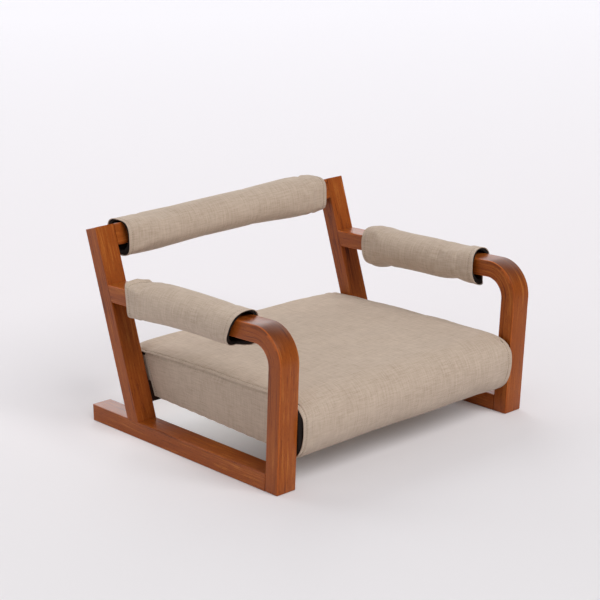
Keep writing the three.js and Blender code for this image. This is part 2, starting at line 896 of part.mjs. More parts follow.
// The arm is straight from the end of its bend to the rear post. Its sleeve leaves some of
// that length free.
const armMiddle = shifted(armTop, downwards, stockThickness / 2);
const bendEnd = roundedCorner(
  meet(armTop, rearPostFront),
  meet(armTop, frontPostFront),
  meet(frontPostFront, floor),
  bendOuterRadius,
  bendSteps,
)[0];
const armSleeveReach = meet(armMiddle, rearPostFront).x - bendEnd.x - armSleeveFreeLength;

function armSleeve(side, word, frontGap) {
  const length = armSleeveReach / Math.cos(fall);
  const group = sleeve(`${word}_arm`, armSleeveInnerRadius, armSleeveOuterRadius, length);
  const sag = sleeveSag(armSleeveInnerRadius, stockWidth, stockThickness, easedEdge, 0);
  const middlePlace = upright(bendEnd.x + frontGap + armSleeveReach / 2);
  const middle = meet(shifted(armMiddle, downwards, sag), middlePlace);
  group.rotation.x = -fall;
  group.position.set(side * (overallWidth / 2 - stockWidth / 2), middle.x, middle.y);
  return group;
}

const chair = new THREE.Group();
chair.add(sideFrame(-1, "left"), sideFrame(1, "right"));
for (const rail of crossRails) {
  chair.add(piece(rail.name, crossRail(rail), cherry));
  for (const [side, word] of [
    [-1, "left"],
    [1, "right"],
  ]) {
    crossRailJoints(rail, side).forEach((joint, index) => {
      chair.add(dowel(`${rail.name}_dowel_${word}_${index + 1}`, joint));
    });
  }
}
chair.add(piece("seat_board", seatBoard(), paleWood));
chair.add(piece("seat_front_cleat", cleat(frontRailRear, backwards), paleWood));
chair.add(piece("seat_rear_cleat", cleat(rearRailFront, forwards), paleWood));
screwPlaces.forEach((place, index) => chair.add(boardScrew(index)));
chair.add(piece("seat_cushion_foam", cushionFoam(), foam));
chair.add(piece("seat_cushion_cover", cushionCover(), linen));
chair.add(piece("seat_nose_padding", nosePadding(), blackFoam));
chair.add(piece("seat_rear_padding", rearPadding(), blackFoam));
chair.add(piece("seat_wrap", seatWrap(), linen));
chair.add(backSleeve());
chair.add(armSleeve(-1, "left", leftSleeveFrontGap));
chair.add(armSleeve(1, "right", rightSleeveFrontGap));

// The origin is on the floor, under the middle of the chair's length.
const reach = new THREE.Box3().setFromObject(chair);
chair.position.y = -(reach.min.y + reach.max.y) / 2;

const floorChair = new THREE.Group();
floorChair.name = "floor_chair";
floorChair.add(chair);

export default floorChair;
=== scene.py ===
"""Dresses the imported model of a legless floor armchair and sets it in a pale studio.

Lengths are in metres unless a name says otherwise. X runs across the chair, the sitter
faces -Y, and Z is up.
"""
import json
import logging
import math
from contextlib import contextmanager
from dataclasses import dataclass
from enum import Enum
from typing import Iterator, Sequence

import bpy
import numpy as np
from mathutils import Matrix, Vector


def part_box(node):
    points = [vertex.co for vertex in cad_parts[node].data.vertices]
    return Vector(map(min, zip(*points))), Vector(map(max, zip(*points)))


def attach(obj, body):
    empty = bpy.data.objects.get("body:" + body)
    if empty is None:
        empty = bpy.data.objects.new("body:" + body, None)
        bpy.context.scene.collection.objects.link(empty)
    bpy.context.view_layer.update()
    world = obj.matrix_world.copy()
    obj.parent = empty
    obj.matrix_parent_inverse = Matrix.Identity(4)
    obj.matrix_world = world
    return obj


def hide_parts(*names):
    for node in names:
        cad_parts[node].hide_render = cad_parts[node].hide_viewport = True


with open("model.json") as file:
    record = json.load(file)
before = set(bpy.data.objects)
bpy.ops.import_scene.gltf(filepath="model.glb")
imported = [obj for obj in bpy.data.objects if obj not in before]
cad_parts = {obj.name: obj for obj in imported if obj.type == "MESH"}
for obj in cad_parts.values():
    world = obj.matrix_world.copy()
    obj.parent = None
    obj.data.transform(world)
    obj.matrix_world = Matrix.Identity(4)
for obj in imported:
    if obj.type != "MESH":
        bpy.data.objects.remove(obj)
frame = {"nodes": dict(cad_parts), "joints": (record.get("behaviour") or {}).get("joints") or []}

MM = 0.001
REAR_LEAN = math.radians(16.8)
RUNNER_LENGTH = 509 * MM
BAR_THICKNESS = 31 * MM
LOG = logging.getLogger("floor_armchair")

Socket = bpy.types.NodeSocket
Value = float | Sequence[float] | bpy.types.NodeSocket


class Side(Enum):
    """A side of the chair, as the front view shows it."""

    LEFT = -1
    RIGHT = 1

    @property
    def word(self) -> str:
        """The side's word in the node names."""
        return self.name.lower()


class Pattern(Enum):
    """Where a finish reads its pattern from."""

    OBJECT = "object"
    FLOW = "flow"


# Shader nodes


def linear(hex_colour: str) -> tuple[float, float, float, float]:
    """Turns an sRGB hex colour to a linear one.

    Args:
        hex_colour: The colour as #rrggbb.

    Returns:
        The linear red, green, blue and an alpha of 1.
    """
    parts = [int(hex_colour[i : i + 2], 16) / 255 for i in (1, 3, 5)]
    values = [c / 12.92 if c <= 0.04045 else ((c + 0.055) / 1.055) ** 2.4 for c in parts]
    return (values[0], values[1], values[2], 1.0)


@dataclass
class Shading:
    """Adds shader nodes to a material's or the world's tree."""

    tree: bpy.types.NodeTree

    def feed(self, node: bpy.types.Node, inputs: dict[str | int, Value]) -> None:
        """Links sockets to a node's inputs, and sets its other inputs to plain values.

        Args:
            node: The node.
            inputs: What each input gets.
        """
        for name, value in inputs.items():
            if isinstance(value, bpy.types.NodeSocket):
                self.tree.links.new(value, node.inputs[name])
            else:
                node.inputs[name].default_value = value

    def add(self, kind: str, inputs: dict[str | int, Value], **settings: object) -> bpy.types.Node:
        """Adds one shader node.

        Args:
            kind: The node's type name after its prefix.
            inputs: Sockets, numbers and colours for its inputs.
            settings: Properties of the node itself.

        Returns:
            The new node.
        """
        node = self.tree.nodes.new(f"ShaderNode{kind}")
        for name, value in settings.items():
            setattr(node, name, value)
        self.feed(node, inputs)
        return node

    def math(self, operation: str, *values: Value) -> Socket:
        """Joins numbers by one arithmetic step."""
        return self.add("Math", dict(enumerate(values)), operation=operation).outputs[0]

    def weighted(self, *shares: tuple[Socket, float]) -> Socket:
        """Adds up values.

        Args:
            shares: Each value with its share.

        Returns:
            The sum.
        """
        total = 0.0
        for value, share in shares:
            total = self.math("MULTIPLY_ADD", value, share, total)
        return total

    def vector(self, operation: str, *values: Value, output: str = "Vector") -> Socket:
        """Joins vectors by one step, which gives a vector or the output that is named."""
        return self.add("VectorMath", dict(enumerate(values)), operation=operation).outputs[output]

    def own_space(self) -> Socket:
        """The object's own coordinates."""
        return self.add("TexCoord", {}).outputs["Object"]

    def attribute(self, name: str, output: str) -> Socket:
        """What the mesh stores for its points under a name."""
        return self.add("Attribute", {}, attribute_name=name).outputs[output]

    def noise(self, at: Socket, scale: float, detail: float, **more: float) -> Socket:
        """A noise from 0 to 1."""
        inputs = {"Vector": at, "Scale": scale, "Detail": detail, **more}
        return self.add("TexNoise", inputs).outputs["Fac"]

    def remap(
        self, value: Socket, old: Sequence[float], new: Sequence[float] = (0, 1), **settings: str
    ) -> Socket:
        """Moves a value from one range to another.

        Args:
            value: The value.
            old: The range's ends before.
            new: The range's ends after.
            settings: Properties of the node.

        Returns:
            The moved value, kept between the new ends.
        """
        ends = {"From Min": old[0], "From Max": old[1], "To Min": new[0], "To Max": new[1]}
        return self.add("MapRange", {"Value": value, **ends}, **settings).outputs["Result"]

    def bump(self, height: Socket, strength: float, depth: float) -> Socket:
        """A surface's fine relief."""
        inputs = {"Height": height, "Strength": strength, "Distance": depth}
        return self.add("Bump", inputs).outputs["Normal"]

    def mix(self, share: float | Socket, first: Value, second: Value, blend: str = "MIX") -> Socket:
        """Mixes two colours."""
        inputs = {"Factor": share, 6: first, 7: second}
        return self.add("Mix", inputs, data_type="RGBA", blend_type=blend).outputs[2]

    def ramp(self, source: Socket, places: Sequence[float], *colours: str) -> Socket:
        """Colours a value by stops.

        Args:
            source: The value from 0 to 1.
            places: The stops' places from 0 to 1.
            colours: The stops' sRGB hex colours.

        Returns:
            The colour.
        """
        ramp = self.add("ValToRGB", {"Fac": source})
        elements = ramp.color_ramp.elements
        while len(elements) < len(colours):
            elements.new(0.5)
        for element, place, colour in zip(elements, places, colours):
            element.position = place
            element.color = linear(colour)
        return ramp.outputs["Color"]


class Paint(Shading):
    """A new node material."""

    def __init__(self, name: str) -> None:
        """Makes the material with its Principled shader.

        Args:
            name: The material's name.
        """
        self.material = bpy.data.materials.new(name)
        self.material.use_nodes = True
        super().__init__(self.material.node_tree)

    def finish(self, colour: Socket, relief: Socket | None, **more: Value) -> bpy.types.Material:
        """Feeds the Principled shader.

        Args:
            colour: The base colour.
            relief: The fine relief, if there is one.
            more: The shader's other inputs, with underscores for spaces.

        Returns:
            The material.
        """
        inputs = {name.replace("_", " "): value for name, value in more.items()}
        if relief:
            inputs["Normal"] = relief
        self.feed(self.tree.nodes["Principled BSDF"], {"Base Color": colour, **inputs})
        return self.material


# Objects and points


def add_object(name: str, data: bpy.types.ID) -> bpy.types.Object:
    """Puts data in the scene.

    Args:
        name: The new object's name.
        data: Its mesh, lamp or camera.

    Returns:
        The object.
    """
    obj = bpy.data.objects.new(name, data)
    bpy.context.scene.collection.objects.link(obj)
    return obj


def deselect() -> None:
    """Deselects every object."""
    bpy.ops.object.select_all(action="DESELECT")


def activate(obj: bpy.types.Object) -> None:
    """Selects one object alone and makes it the active one.

    Args:
        obj: The object.
    """
    deselect()
    obj.select_set(True)
    bpy.context.view_layer.objects.active = obj


@contextmanager
def editing(obj: bpy.types.Object, select: bool = True) -> Iterator[None]:
    """Opens an object's mesh for editing, and turns its faces out at the end.

    Args:
        obj: The object.
        select: Whether all of the mesh is selected at the start.
    """
    activate(obj)
    bpy.ops.object.mode_set(mode="EDIT")
    if select:
        bpy.ops.mesh.select_all(action="SELECT")
    yield
    bpy.ops.mesh.select_all(action="SELECT")
    bpy.ops.mesh.normals_make_consistent(inside=False)
    bpy.ops.object.mode_set(mode="OBJECT")


def apply_modifier(obj: bpy.types.Object, kind: str, **settings: object) -> None:
    """Adds a modifier and applies it.

    Args:
        obj: The object to change.
        kind: The modifier's type.
        settings: The modifier's properties.
    """
    activate(obj)
    modifier = obj.modifiers.new(kind.title(), kind)
    for name, value in settings.items():
        setattr(modifier, name, value)
    bpy.ops.object.modifier_apply(modifier=modifier.name)


def shade_smooth(mesh: bpy.types.Mesh) -> None:
    """Smooths the shading of every face."""
    mesh.polygons.foreach_set("use_smooth", [True] * len(mesh.polygons))


def close_and_smooth(obj: bpy.types.Object) -> None:
    """Merges doubled points, turns the faces out and smooths the shading."""
    with editing(obj):
        bpy.ops.mesh.remove_doubles(threshold=1e-6)
    shade_smooth(obj.data)


def thicken(obj: bpy.types.Object, thickness: float) -> None:
    """Gives a cloth panel its thickness inwards and rounds it by one subdivision.

    Args:
        obj: The panel.
        thickness: The cloth's thickness.
    """
    apply_modifier(obj, "SOLIDIFY", thickness=thickness, offset=-1.0, use_even_offset=False)
    apply_modifier(obj, "SUBSURF", levels=1, render_levels=1)
    shade_smooth(obj.data)


def coordinates_of(mesh: bpy.types.Mesh) -> np.ndarray:
    """Reads a mesh's points.

    Args:
        mesh: The mesh.

    Returns:
        A row of three numbers for each point.
    """
    flat = np.empty(len(mesh.vertices) * 3)
    mesh.vertices.foreach_get("co", flat)
    return flat.reshape(-1, 3)


def normals_of(mesh: bpy.types.Mesh) -> np.ndarray:
    """Reads a mesh's point normals.

    Args:
        mesh: The mesh.

    Returns:
        A row of three numbers for each point.
    """
    mesh.update()
    flat = np.empty(len(mesh.vertices) * 3, np.float32)
    mesh.vertex_normals.foreach_get("vector", flat)
    return flat.reshape(-1, 3).astype(float)


def move_points(mesh: bpy.types.Mesh, points: np.ndarray) -> None:
    """Gives the mesh's points new places."""
    mesh.vertices.foreach_set("co", points.ravel())
    mesh.update()


def run_along(line: np.ndarray) -> np.ndarray:
    """How far along a line each of its points lies."""
    return np.concatenate([[0], np.cumsum(np.linalg.norm(np.diff(line, axis=0), axis=1))])


def read_line(at: float | np.ndarray, run: np.ndarray, line: np.ndarray) -> np.ndarray:
    """Reads a line's coordinates at lengths along it."""
    return np.array([np.interp(at, run, line[:, k]) for k in range(line.shape[1])])


def smooth_steps(low: float, high: float, value: np.ndarray | float) -> np.ndarray | float:
    """Rises from 0 at low to 1 at high along a smooth curve."""
    part = np.clip((np.asarray(value, float) - low) / (high - low), 0, 1)
    return part * part * (3 - 2 * part)


def peak(value: np.ndarray | float, width: float) -> np.ndarray | float:
    """Is 1 at a value of 0, and falls off smoothly over a width on both sides."""
    return np.exp(-((value / width) ** 2))


def curve_through(places: Sequence[float], values: Sequence[float], at: np.ndarray) -> np.ndarray:
    """Reads a smooth curve through given points, which doesn't overshoot them.

    Args:
        places: Rising places of the given points.
        values: The curve's values there.
        at: The places to read.

    Returns:
        The curve's values at those places.
    """
    x, y = np.asarray(places, float), np.asarray(values, float)
    step, rise = np.diff(x), np.diff(y)
    slope = rise / step
    tangent = np.zeros(len(x))
    tangent[0], tangent[-1] = slope[0], slope[-1]
    for i in range(1, len(x) - 1):
        if slope[i - 1] * slope[i] > 0:
            tangent[i] = 2 * slope[i - 1] * slope[i] / (slope[i - 1] + slope[i])
    at = np.asarray(at, float)
    i = np.clip(np.searchsorted(x, at) - 1, 0, len(step) - 1)
    t = (at - x[i]) / step[i]
    return (
        (2 * t**3 - 3 * t**2 + 1) * y[i]
        + (t**3 - 2 * t**2 + t) * step[i] * tangent[i]
        + (-2 * t**3 + 3 * t**2) * y[i + 1]
        + (t**3 - t**2) * step[i] * tangent[i + 1]
    )


def waves(
    seed: int,
    length: float,
    points: np.ndarray,
    count: int = 24,
    spread: tuple[float, float] = (0.6, 1.8),
) -> np.ndarray:
    """A smooth random height field, made of waves in seeded directions.

    Args:
        seed: Picks the field.
        length: The waves' middle length.
        points: Rows of coordinates in metres.
        count: How many waves are added up.
        spread: The shortest and the longest wave, as shares of the length.

    Returns:
        A height from about -1 to 1 for each row.
    """
    picker = np.random.default_rng(seed)
    total = np.zeros(len(points))
    for _ in range(count):
        way = picker.normal(size=points.shape[1])
        way *= 2 * math.pi / (length * picker.uniform(*spread)) / np.linalg.norm(way)
        total += np.sin(points @ way + picker.uniform(0, 2 * math.pi))
    return total / math.sqrt(count)


def ends_then_even(total: float, near: Sequence[float], spacing: float) -> np.ndarray:
    """Places along a length that are close together at both ends and even between.

    Args:
        total: The length.
        near: Distances from each end.
        spacing: The even spacing.

    Returns:
        The rising places.
    """
    start, end = near[-1], total - near[-1]
    count = max(int(round((end - start) / spacing)), 1)
    middle = np.linspace(start, end, count + 1)
    return np.concatenate([np.array(near[:-1]), middle, total - np.array(near[-2::-1])])


# Finishes


@dataclass(frozen=True)
class StainedHardwood:
    """Beech stained to cherry and sprayed with satin lacquer.

    The stain leaves long darker streaks and fine pores along the grain. The lacquer gives
    a soft reflection over them.
    """

    dark: str = "#54200b"
    middle: str = "#994c18"
    light: str = "#c17431"
    streak_width: float = 5 * MM
    fibre_width: float = 0.9 * MM
    pore_width: float = 0.6 * MM
    cloud_width: float = 45 * MM
    stretch: float = 26.0
    streak_share: float = 0.42
    fibre_share: float = 0.34
    cloud_share: float = 0.24
    cloud_stretch: float = 2.5
    tone_places: tuple[float, ...] = (0.36, 0.47, 0.54, 0.66)
    pore_ends: tuple[float, float] = (0.30, 0.40)
    pore_tone: float = 0.55
    pore_depth: float = 0.15 * MM
    streak_ends: tuple[float, float] = (0.3, 0.7)
    roughness: tuple[float, float] = (0.30, 0.42)

    def make(self, name: str, pattern: Pattern, along: Vector, shift: Vector) -> bpy.types.Material:
        """Makes the finish for one member.

        Args:
            name: The material's name.
            pattern: Whether the grain follows the object's space or a stored flow.
            along: The direction of the grain, for the object's space.
            shift: Moves the pattern, so that no two members match.

        Returns:
            The material.
        """
        paint = Paint(name)
        if pattern is Pattern.FLOW:
            source, turn = paint.attribute("grain", "Vector"), (0.0, 0.0, 0.0)
        else:
            source = paint.own_space()
            turn = tuple(along.rotation_difference(Vector((1, 0, 0))).to_euler())
        inputs = {"Vector": source, "Rotation": turn, "Location": tuple(shift)}
        member = paint.add("Mapping", inputs).outputs["Vector"]

        def grain(width: float, stretch: float, detail: float, bend: float) -> Socket:
            """A noise drawn out along the grain.

            Args:
                width: Its size across the grain.
                stretch: How many times longer it is along the grain.
                detail: How many finer noises lie in it.
                bend: How far it wanders.

            Returns:
                The noise.
            """
            size = (1 / (width * stretch), 1 / width, 1 / width)
            scaled = paint.vector("MULTIPLY", member, size)
            return paint.noise(scaled, scale=1.0, detail=detail, Roughness=0.55, Distortion=bend)

        streaks = grain(self.streak_width, self.stretch, detail=4.0, bend=0.6)
        fibres = grain(self.fibre_width, self.stretch * 1.5, detail=2.0, bend=0.2)
        pores = grain(self.pore_width, self.stretch / 3, detail=1.0, bend=0.0)
        cloud = grain(self.cloud_width, self.cloud_stretch, detail=2.0, bend=0.3)
        figure = paint.weighted(
            (streaks, self.streak_share), (fibres, self.fibre_share), (cloud, self.cloud_share)
        )
        tones = (self.dark, self.middle, self.middle, self.light)
        pore_mask = paint.remap(pores, self.pore_ends, (self.pore_tone, 1.0))
        colour = paint.ramp(figure, self.tone_places, *tones)
        colour = paint.mix(1.0, colour, pore_mask, "MULTIPLY")
        # The stored factor darkens round the outside of the bend and paints a highlight on the
        # eased edges.
        if pattern is Pattern.FLOW:
            colour = paint.mix(1.0, colour, paint.attribute("stain", "Fac"), "MULTIPLY")
        relief = paint.math("MULTIPLY", pore_mask, fibres)
        return paint.finish(
            colour,
            paint.bump(relief, strength=0.25, depth=self.pore_depth),
            Roughness=paint.remap(streaks, self.streak_ends, self.roughness),
            IOR=1.5,
            Specular_IOR_Level=0.2,
            Coat_Weight=0.1,
            Coat_Roughness=0.12,
        )


@dataclass(frozen=True)
class BareWood:
    """Sanded beech and birch plywood without a finish: pale, dry and matt, with a fine grain."""

    light: str = "#d2b184"
    dark: str = "#b58d5b"
    grain_width: float = 1.6 * MM
    stretch: float = 18.0
    tone_places: tuple[float, float] = (0.3, 0.7)
    depth: float = 0.2 * MM

    def make(self, name: str) -> bpy.types.Material:
        """Makes the finish.

        Args:
            name: The material's name.

        Returns:
            The material.
        """
        paint = Paint(name)
        width = self.grain_width
        size = (1 / (width * self.stretch), 1 / width, 1 / width)
        scaled = paint.vector("MULTIPLY", paint.own_space(), size)
        grain = paint.noise(scaled, scale=1.0, detail=4.0)
        colour = paint.ramp(grain, self.tone_places, self.dark, self.light)
        relief = paint.bump(grain, strength=0.3, depth=self.depth)
        return paint.finish(colour, relief, Roughness=0.72)


@dataclass(frozen=True)
class LinenWeave:
    """Plain-woven linen-look upholstery cloth: matt, with uneven threads both ways.

    The real threads are about 0.6 mm apart, too fine to show, so they are drawn 1.5 mm
    apart. The slubs are the threads' thicker places, a few centimetres long.
    """

    light: str = "#cdbba9"
    middle: str = "#c0ad9b"
    dark: str = "#ab9784"
    thread_spacing: float = 1.5 * MM
    slub_width: float = 1.4 * MM
    slub_length: float = 26 * MM
    cloud_size: tuple[float, float] = (60 * MM, 45 * MM)
    thread_share: float = 0.07
    slub_share: float = 0.42
    cloud_share: float = 0.16
    tone_places: tuple[float, ...] = (0.34, 0.50, 0.66)
    depth: float = 0.22 * MM

    def make(self, name: str) -> bpy.types.Material:
        """Makes the finish, which follows the cloth's own flat coordinates in metres.

        Args:
            name: The material's name.

        Returns:
            The material.
        """
        paint = Paint(name)
        flat = paint.add("UVMap", {}, uv_map="flat_cloth").outputs["UV"]
        parts = paint.add("SeparateXYZ", {"Vector": flat}).outputs

        def thread(axis: str) -> Socket:
            """One set of threads as a sine over the spacing."""
            turns = paint.math("MULTIPLY", parts[axis], math.pi / self.thread_spacing)
            return paint.math("SINE", turns)

        def uneven(size: tuple[float, float], seed: float) -> Socket:
            """A noise drawn out one way.

            Args:
                size: Its size both ways.
                seed: Moves it, so that no two match.

            Returns:
                The noise.
            """
            scale = (1 / size[0], 1 / size[1], 1.0)
            scaled = paint.vector("MULTIPLY_ADD", flat, scale, (seed, seed, seed))
            return paint.noise(scaled, scale=1.0, detail=2.5, Roughness=0.6)

        warp, weft = thread("X"), thread("Y")
        crossing = paint.math("MULTIPLY", warp, weft)
        slubs = paint.math(
            "ADD",
            uneven((self.slub_width, self.slub_length), seed=3.7),
            uneven((self.slub_length, self.slub_width), seed=11.2),
        )
        tone = paint.weighted(
            (crossing, self.thread_share),
            (slubs, self.slub_share),
            (uneven(self.cloud_size, seed=27.0), self.cloud_share),
        )
        threads = paint.math("MAXIMUM", paint.math("ABSOLUTE", warp), paint.math("ABSOLUTE", weft))
        height = paint.math("ADD", threads, paint.math("ADD", crossing, slubs))
        return paint.finish(
            paint.ramp(tone, self.tone_places, self.dark, self.middle, self.light),
            paint.bump(height, strength=0.5, depth=self.depth),
            Roughness=0.92,
            Specular_IOR_Level=0.25,
            Sheen_Weight=0.12,
            Sheen_Roughness=0.5,
        )


@dataclass(frozen=True)
class OpenCellFoam:
    """Open-cell foam rubber: a dull skin full of fine pits."""

    colour: str = "#15110f"
    lighter: str = "#2a231f"
    cell: float = 1.1 * MM
    tone_places: tuple[float, float] = (0.1, 0.8)
    depth: float = 0.4 * MM

    def make(self, name: str) -> bpy.types.Material:
        """Makes the finish.

        Args:
            name: The material's name.

        Returns:
            The material.
        """
        paint = Paint(name)
        inputs = {"Vector": paint.own_space(), "Scale": 1 / self.cell}
        cells = paint.add("TexVoronoi", inputs).outputs["Distance"]
        colour = paint.ramp(cells, self.tone_places, self.colour, self.lighter)
        relief = paint.bump(cells, strength=0.6, depth=self.depth)
        return paint.finish(colour, relief, Roughness=0.95, Specular_IOR_Level=0.2)


@dataclass(frozen=True)
class TwoTone:
    """A smooth finish with two tones in a fine noise."""

    dark: str
    light: str
    grain: float
    detail: float
    tone_places: tuple[float, float]
    metallic: float
    roughness: float

    def make(self, name: str) -> bpy.types.Material:
        """Makes the finish.

        Args:
            name: The material's name.

        Returns:
            The material.
        """
        paint = Paint(name)
        noise = paint.noise(paint.own_space(), 1 / self.grain, self.detail)
        colour = paint.ramp(noise, self.tone_places, self.dark, self.light)
        return paint.finish(colour, None, Metallic=self.metallic, Roughness=self.roughness)


@dataclass(frozen=True)
class SpunThread(TwoTone):
    """Polyester sewing thread: a slightly shiny two-ply twist.

    Its tones are darker than the cloth's: partly the thread's own colour, partly painted shade
    along the seam's crease.
    """

    dark: str = "#766655"
    light: str = "#a08e79"
    grain: float = 0.9 * MM
    detail: float = 1.0
    tone_places: tuple[float, float] = (0.35, 0.65)
    metallic: float = 0.0
    roughness: float = 0.6


@dataclass(frozen=True)
class ZincPlate(TwoTone):
    """Zinc-plated steel of wood screws: bright grey with fine drawn lines."""

    dark: str = "#8e9294"
    light: str = "#c3c6c8"
    grain: float = 0.4 * MM
    detail: float = 2.0
    tone_places: tuple[float, float] = (0.3, 0.7)
    metallic: float = 1.0
    roughness: float = 0.38


class Finishes:
    """Every finish of the chair, made once."""

    def __init__(self) -> None:
        """Makes the finishes that several pieces share."""
        self.linen = LinenWeave().make("woven_linen_upholstery")
        self.thread = SpunThread().make("spun_linen_coloured_thread")
        self.black_foam = OpenCellFoam().make("black_open_cell_foam")
        self.bare_wood = BareWood().make("bare_beech_and_plywood")
        self.zinc = ZincPlate().make("zinc_plated_steel")
        self.hardwood = StainedHardwood()
        # The seat rails' near-black finish is painted shade on their ends, which show at the seat's
        # corners.
        self.seat_rail_stain = StainedHardwood(dark="#170a06", middle="#2a140c", light="#3d2013")

    def member(
        self,
        name: str,
        along: Vector,
        pattern: Pattern = Pattern.OBJECT,
        stain: StainedHardwood | None = None,
    ) -> bpy.types.Material:
        """Makes the stained finish for one member of the frame.

        Args:
            name: The member's node name.
            along: The direction of its grain.
            pattern: Whether the grain follows a stored flow.
            stain: Another finish than the cherry one, such as the seat rails' near-black one, which
                is painted shade.

        Returns:
            The material.
        """
        picker = np.random.default_rng(sum(name.encode()))
        shift = Vector(picker.uniform(-3, 3, size=3))
        return (stain or self.hardwood).make(f"stained_{name}", pattern, along, shift)


def dress_node(name: str, material: bpy.types.Material) -> None:
    """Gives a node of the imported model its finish.

    Args:
        name: The node's name.
        material: Its finish.
    """
    slots = frame["nodes"][name].data.materials
    slots.clear()
    slots.append(material)


def dress_piece(
    piece: bpy.types.Object, material: bpy.types.Material, slot: str, body: str, *nodes: str
) -> None:
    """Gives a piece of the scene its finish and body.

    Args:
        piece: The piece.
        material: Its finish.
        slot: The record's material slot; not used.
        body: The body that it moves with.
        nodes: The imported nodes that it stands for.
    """
    piece.data.materials.append(material)
    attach(piece, body)
    if nodes:
        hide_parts(*nodes)


# The timber frame


@dataclass
class SideFrame:
    """One side frame: the floor runner, the leaning rear post and the bent arm."""

    side: Side
    width: float = 41 * MM
    post_lean: float = math.radians(4)
    arm_fall: float = math.radians(1.8)
    arm_height: float = 285 * MM
    outer_bend: float = 60 * MM
    inner_bend: float = 33 * MM
    eased_edge: float = 2.2 * MM
    eased_steps: int = 3
    glued_end: float = 25 * MM
    post_steps: int = 8
    bend_steps: int = 22
    arm_steps: int = 12
    face_steps: int = 4
    # How much darker the colour is round the outside of the bend, where, and how far it reaches.
    bend_stain: float = 0.58
    stain_place: float = 0.8
    stain_reach: float = 0.45
    outside_from: float = 0.5
    # A painted highlight: how much lighter the eased edges are coloured, and over what share of
    # them.
    edge_wear: float = 0.35
    worn_share: float = 0.6
    smooth_angle: float = math.radians(20)
    sharp_angle: float = math.radians(40)

    def build(self) -> bpy.types.Object:
        """Makes the bent arm, from the floor up its post, round the bend and back to the rear post.

        Returns:
            The arm's object.
        """
        low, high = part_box(f"arm_bow_{self.side.word}")
        self.middle_x = (low.x + high.x) / 2
        outer, inner = self._outlines(high.y)
        rows = [outer + (inner - outer) * share for share in np.linspace(0, 1, self.face_steps + 1)]
        obj = self._side_face(f"bent_arm_{self.side.word}", rows)
        with editing(obj):
            bpy.ops.mesh.extrude_region_move(TRANSFORM_OT_translate={"value": (self.width, 0, 0)})
        self._ease_edges(obj)
        self._store_grain(obj, (outer + inner) / 2)
        bpy.ops.object.shade_smooth_by_angle(angle=self.smooth_angle)
        return obj

    def dress(self, arm: bpy.types.Object, finishes: Finishes) -> None:
        """Finishes the side frame's members.

        Args:
            arm: The arm's object.
            finishes: The chair's finishes.
        """
        word = self.side.word
        stain = finishes.member(arm.name, Vector((1, 0, 0)), Pattern.FLOW)
        dress_piece(arm, stain, "cherry", "frame", f"arm_bow_{word}")
        lean = Vector((0, math.sin(REAR_LEAN), math.cos(REAR_LEAN)))
        dress_node(f"rear_post_{word}", finishes.member(f"rear_post_{word}", lean))
        dress_node(f"runner_{word}", finishes.member(f"runner_{word}", Vector((0, 1, 0))))
        for joint in ("runner", "rear_post", "arm"):
            for number in (1, 2):
                dress_node(f"{joint}_dowel_{word}_{number}", finishes.bare_wood)

    def _outlines(self, rear_face: float) -> tuple[np.ndarray, np.ndarray]:
        """The arm's outer and inner outline from the foot to its glued end, in Y and Z.

        Args:
            rear_face: Y of the arm's glued end.

        Returns:
            Both outlines, with the same number of points.
        """
        up = np.array([-math.sin(self.post_lean), math.cos(self.post_lean)])
        back = np.array([math.cos(self.arm_fall), -math.sin(self.arm_fall)])
        arm_inward = np.array([-math.sin(self.arm_fall), -math.cos(self.arm_fall)])
        runner_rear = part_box(f"runner_{self.side.word}")[1].y
        foot = np.array([runner_rear - RUNNER_LENGTH, 0.0])
        corner = foot + up / up[1] * self.arm_height
        inner_foot = foot + np.array([BAR_THICKNESS / math.cos(self.post_lean), 0])
        shift = np.linalg.solve(
            np.column_stack([up, -back]), corner + arm_inward * BAR_THICKNESS - inner_foot
        )
        inner_corner = inner_foot + up * shift[0]
        lean = np.array([math.sin(REAR_LEAN), math.cos(REAR_LEAN)])
        top_end = corner + back * ((rear_face - corner[0]) / back[0])
        drop = np.linalg.solve(np.column_stack([back, -lean]), top_end - inner_corner)
        inner_end = inner_corner + back * drop[0]
        outer = self._rounded(foot, corner, top_end, self.outer_bend)
        inner = self._rounded(inner_foot, inner_corner, inner_end, self.inner_bend)
        return outer, inner

    def _rounded(
        self, start: np.ndarray, corner: np.ndarray, end: np.ndarray, radius: float
    ) -> np.ndarray:
        """A line of two stretches whose corner is rounded, with even points on each stretch.

        Args:
            start: The first point.
            corner: Where the stretches would meet.
            end: The last point.
            radius: The corner's radius.

        Returns:
            The line's points.
        """
        to_start, to_end = start - corner, end - corner
        to_start, to_end = to_start / np.linalg.norm(to_start), to_end / np.linalg.norm(to_end)
        half = math.acos(float(to_start @ to_end)) / 2
        middle = (to_start + to_end) / np.linalg.norm(to_start + to_end)
        centre = corner + middle * radius / math.sin(half)
        first = corner + to_start * radius / math.tan(half)
        last = corner + to_end * radius / math.tan(half)
        y, z = first - centre
        arc = []
        for step in range(self.bend_steps + 1):
            angle = -(math.pi - 2 * half) * step / self.bend_steps
            sine, cosine = math.sin(angle), math.cos(angle)
            arc.append(centre + np.array([y * cosine - z * sine, y * sine + z * cosine]))
        post = [
            start + (first - start) * share for share in np.linspace(0, 1, self.post_steps + 1)[:-1]
        ]
        arm = [last + (end - last) * share for share in np.linspace(0, 1, self.arm_steps + 1)[1:]]
        return np.array([*post, *arc, *arm])

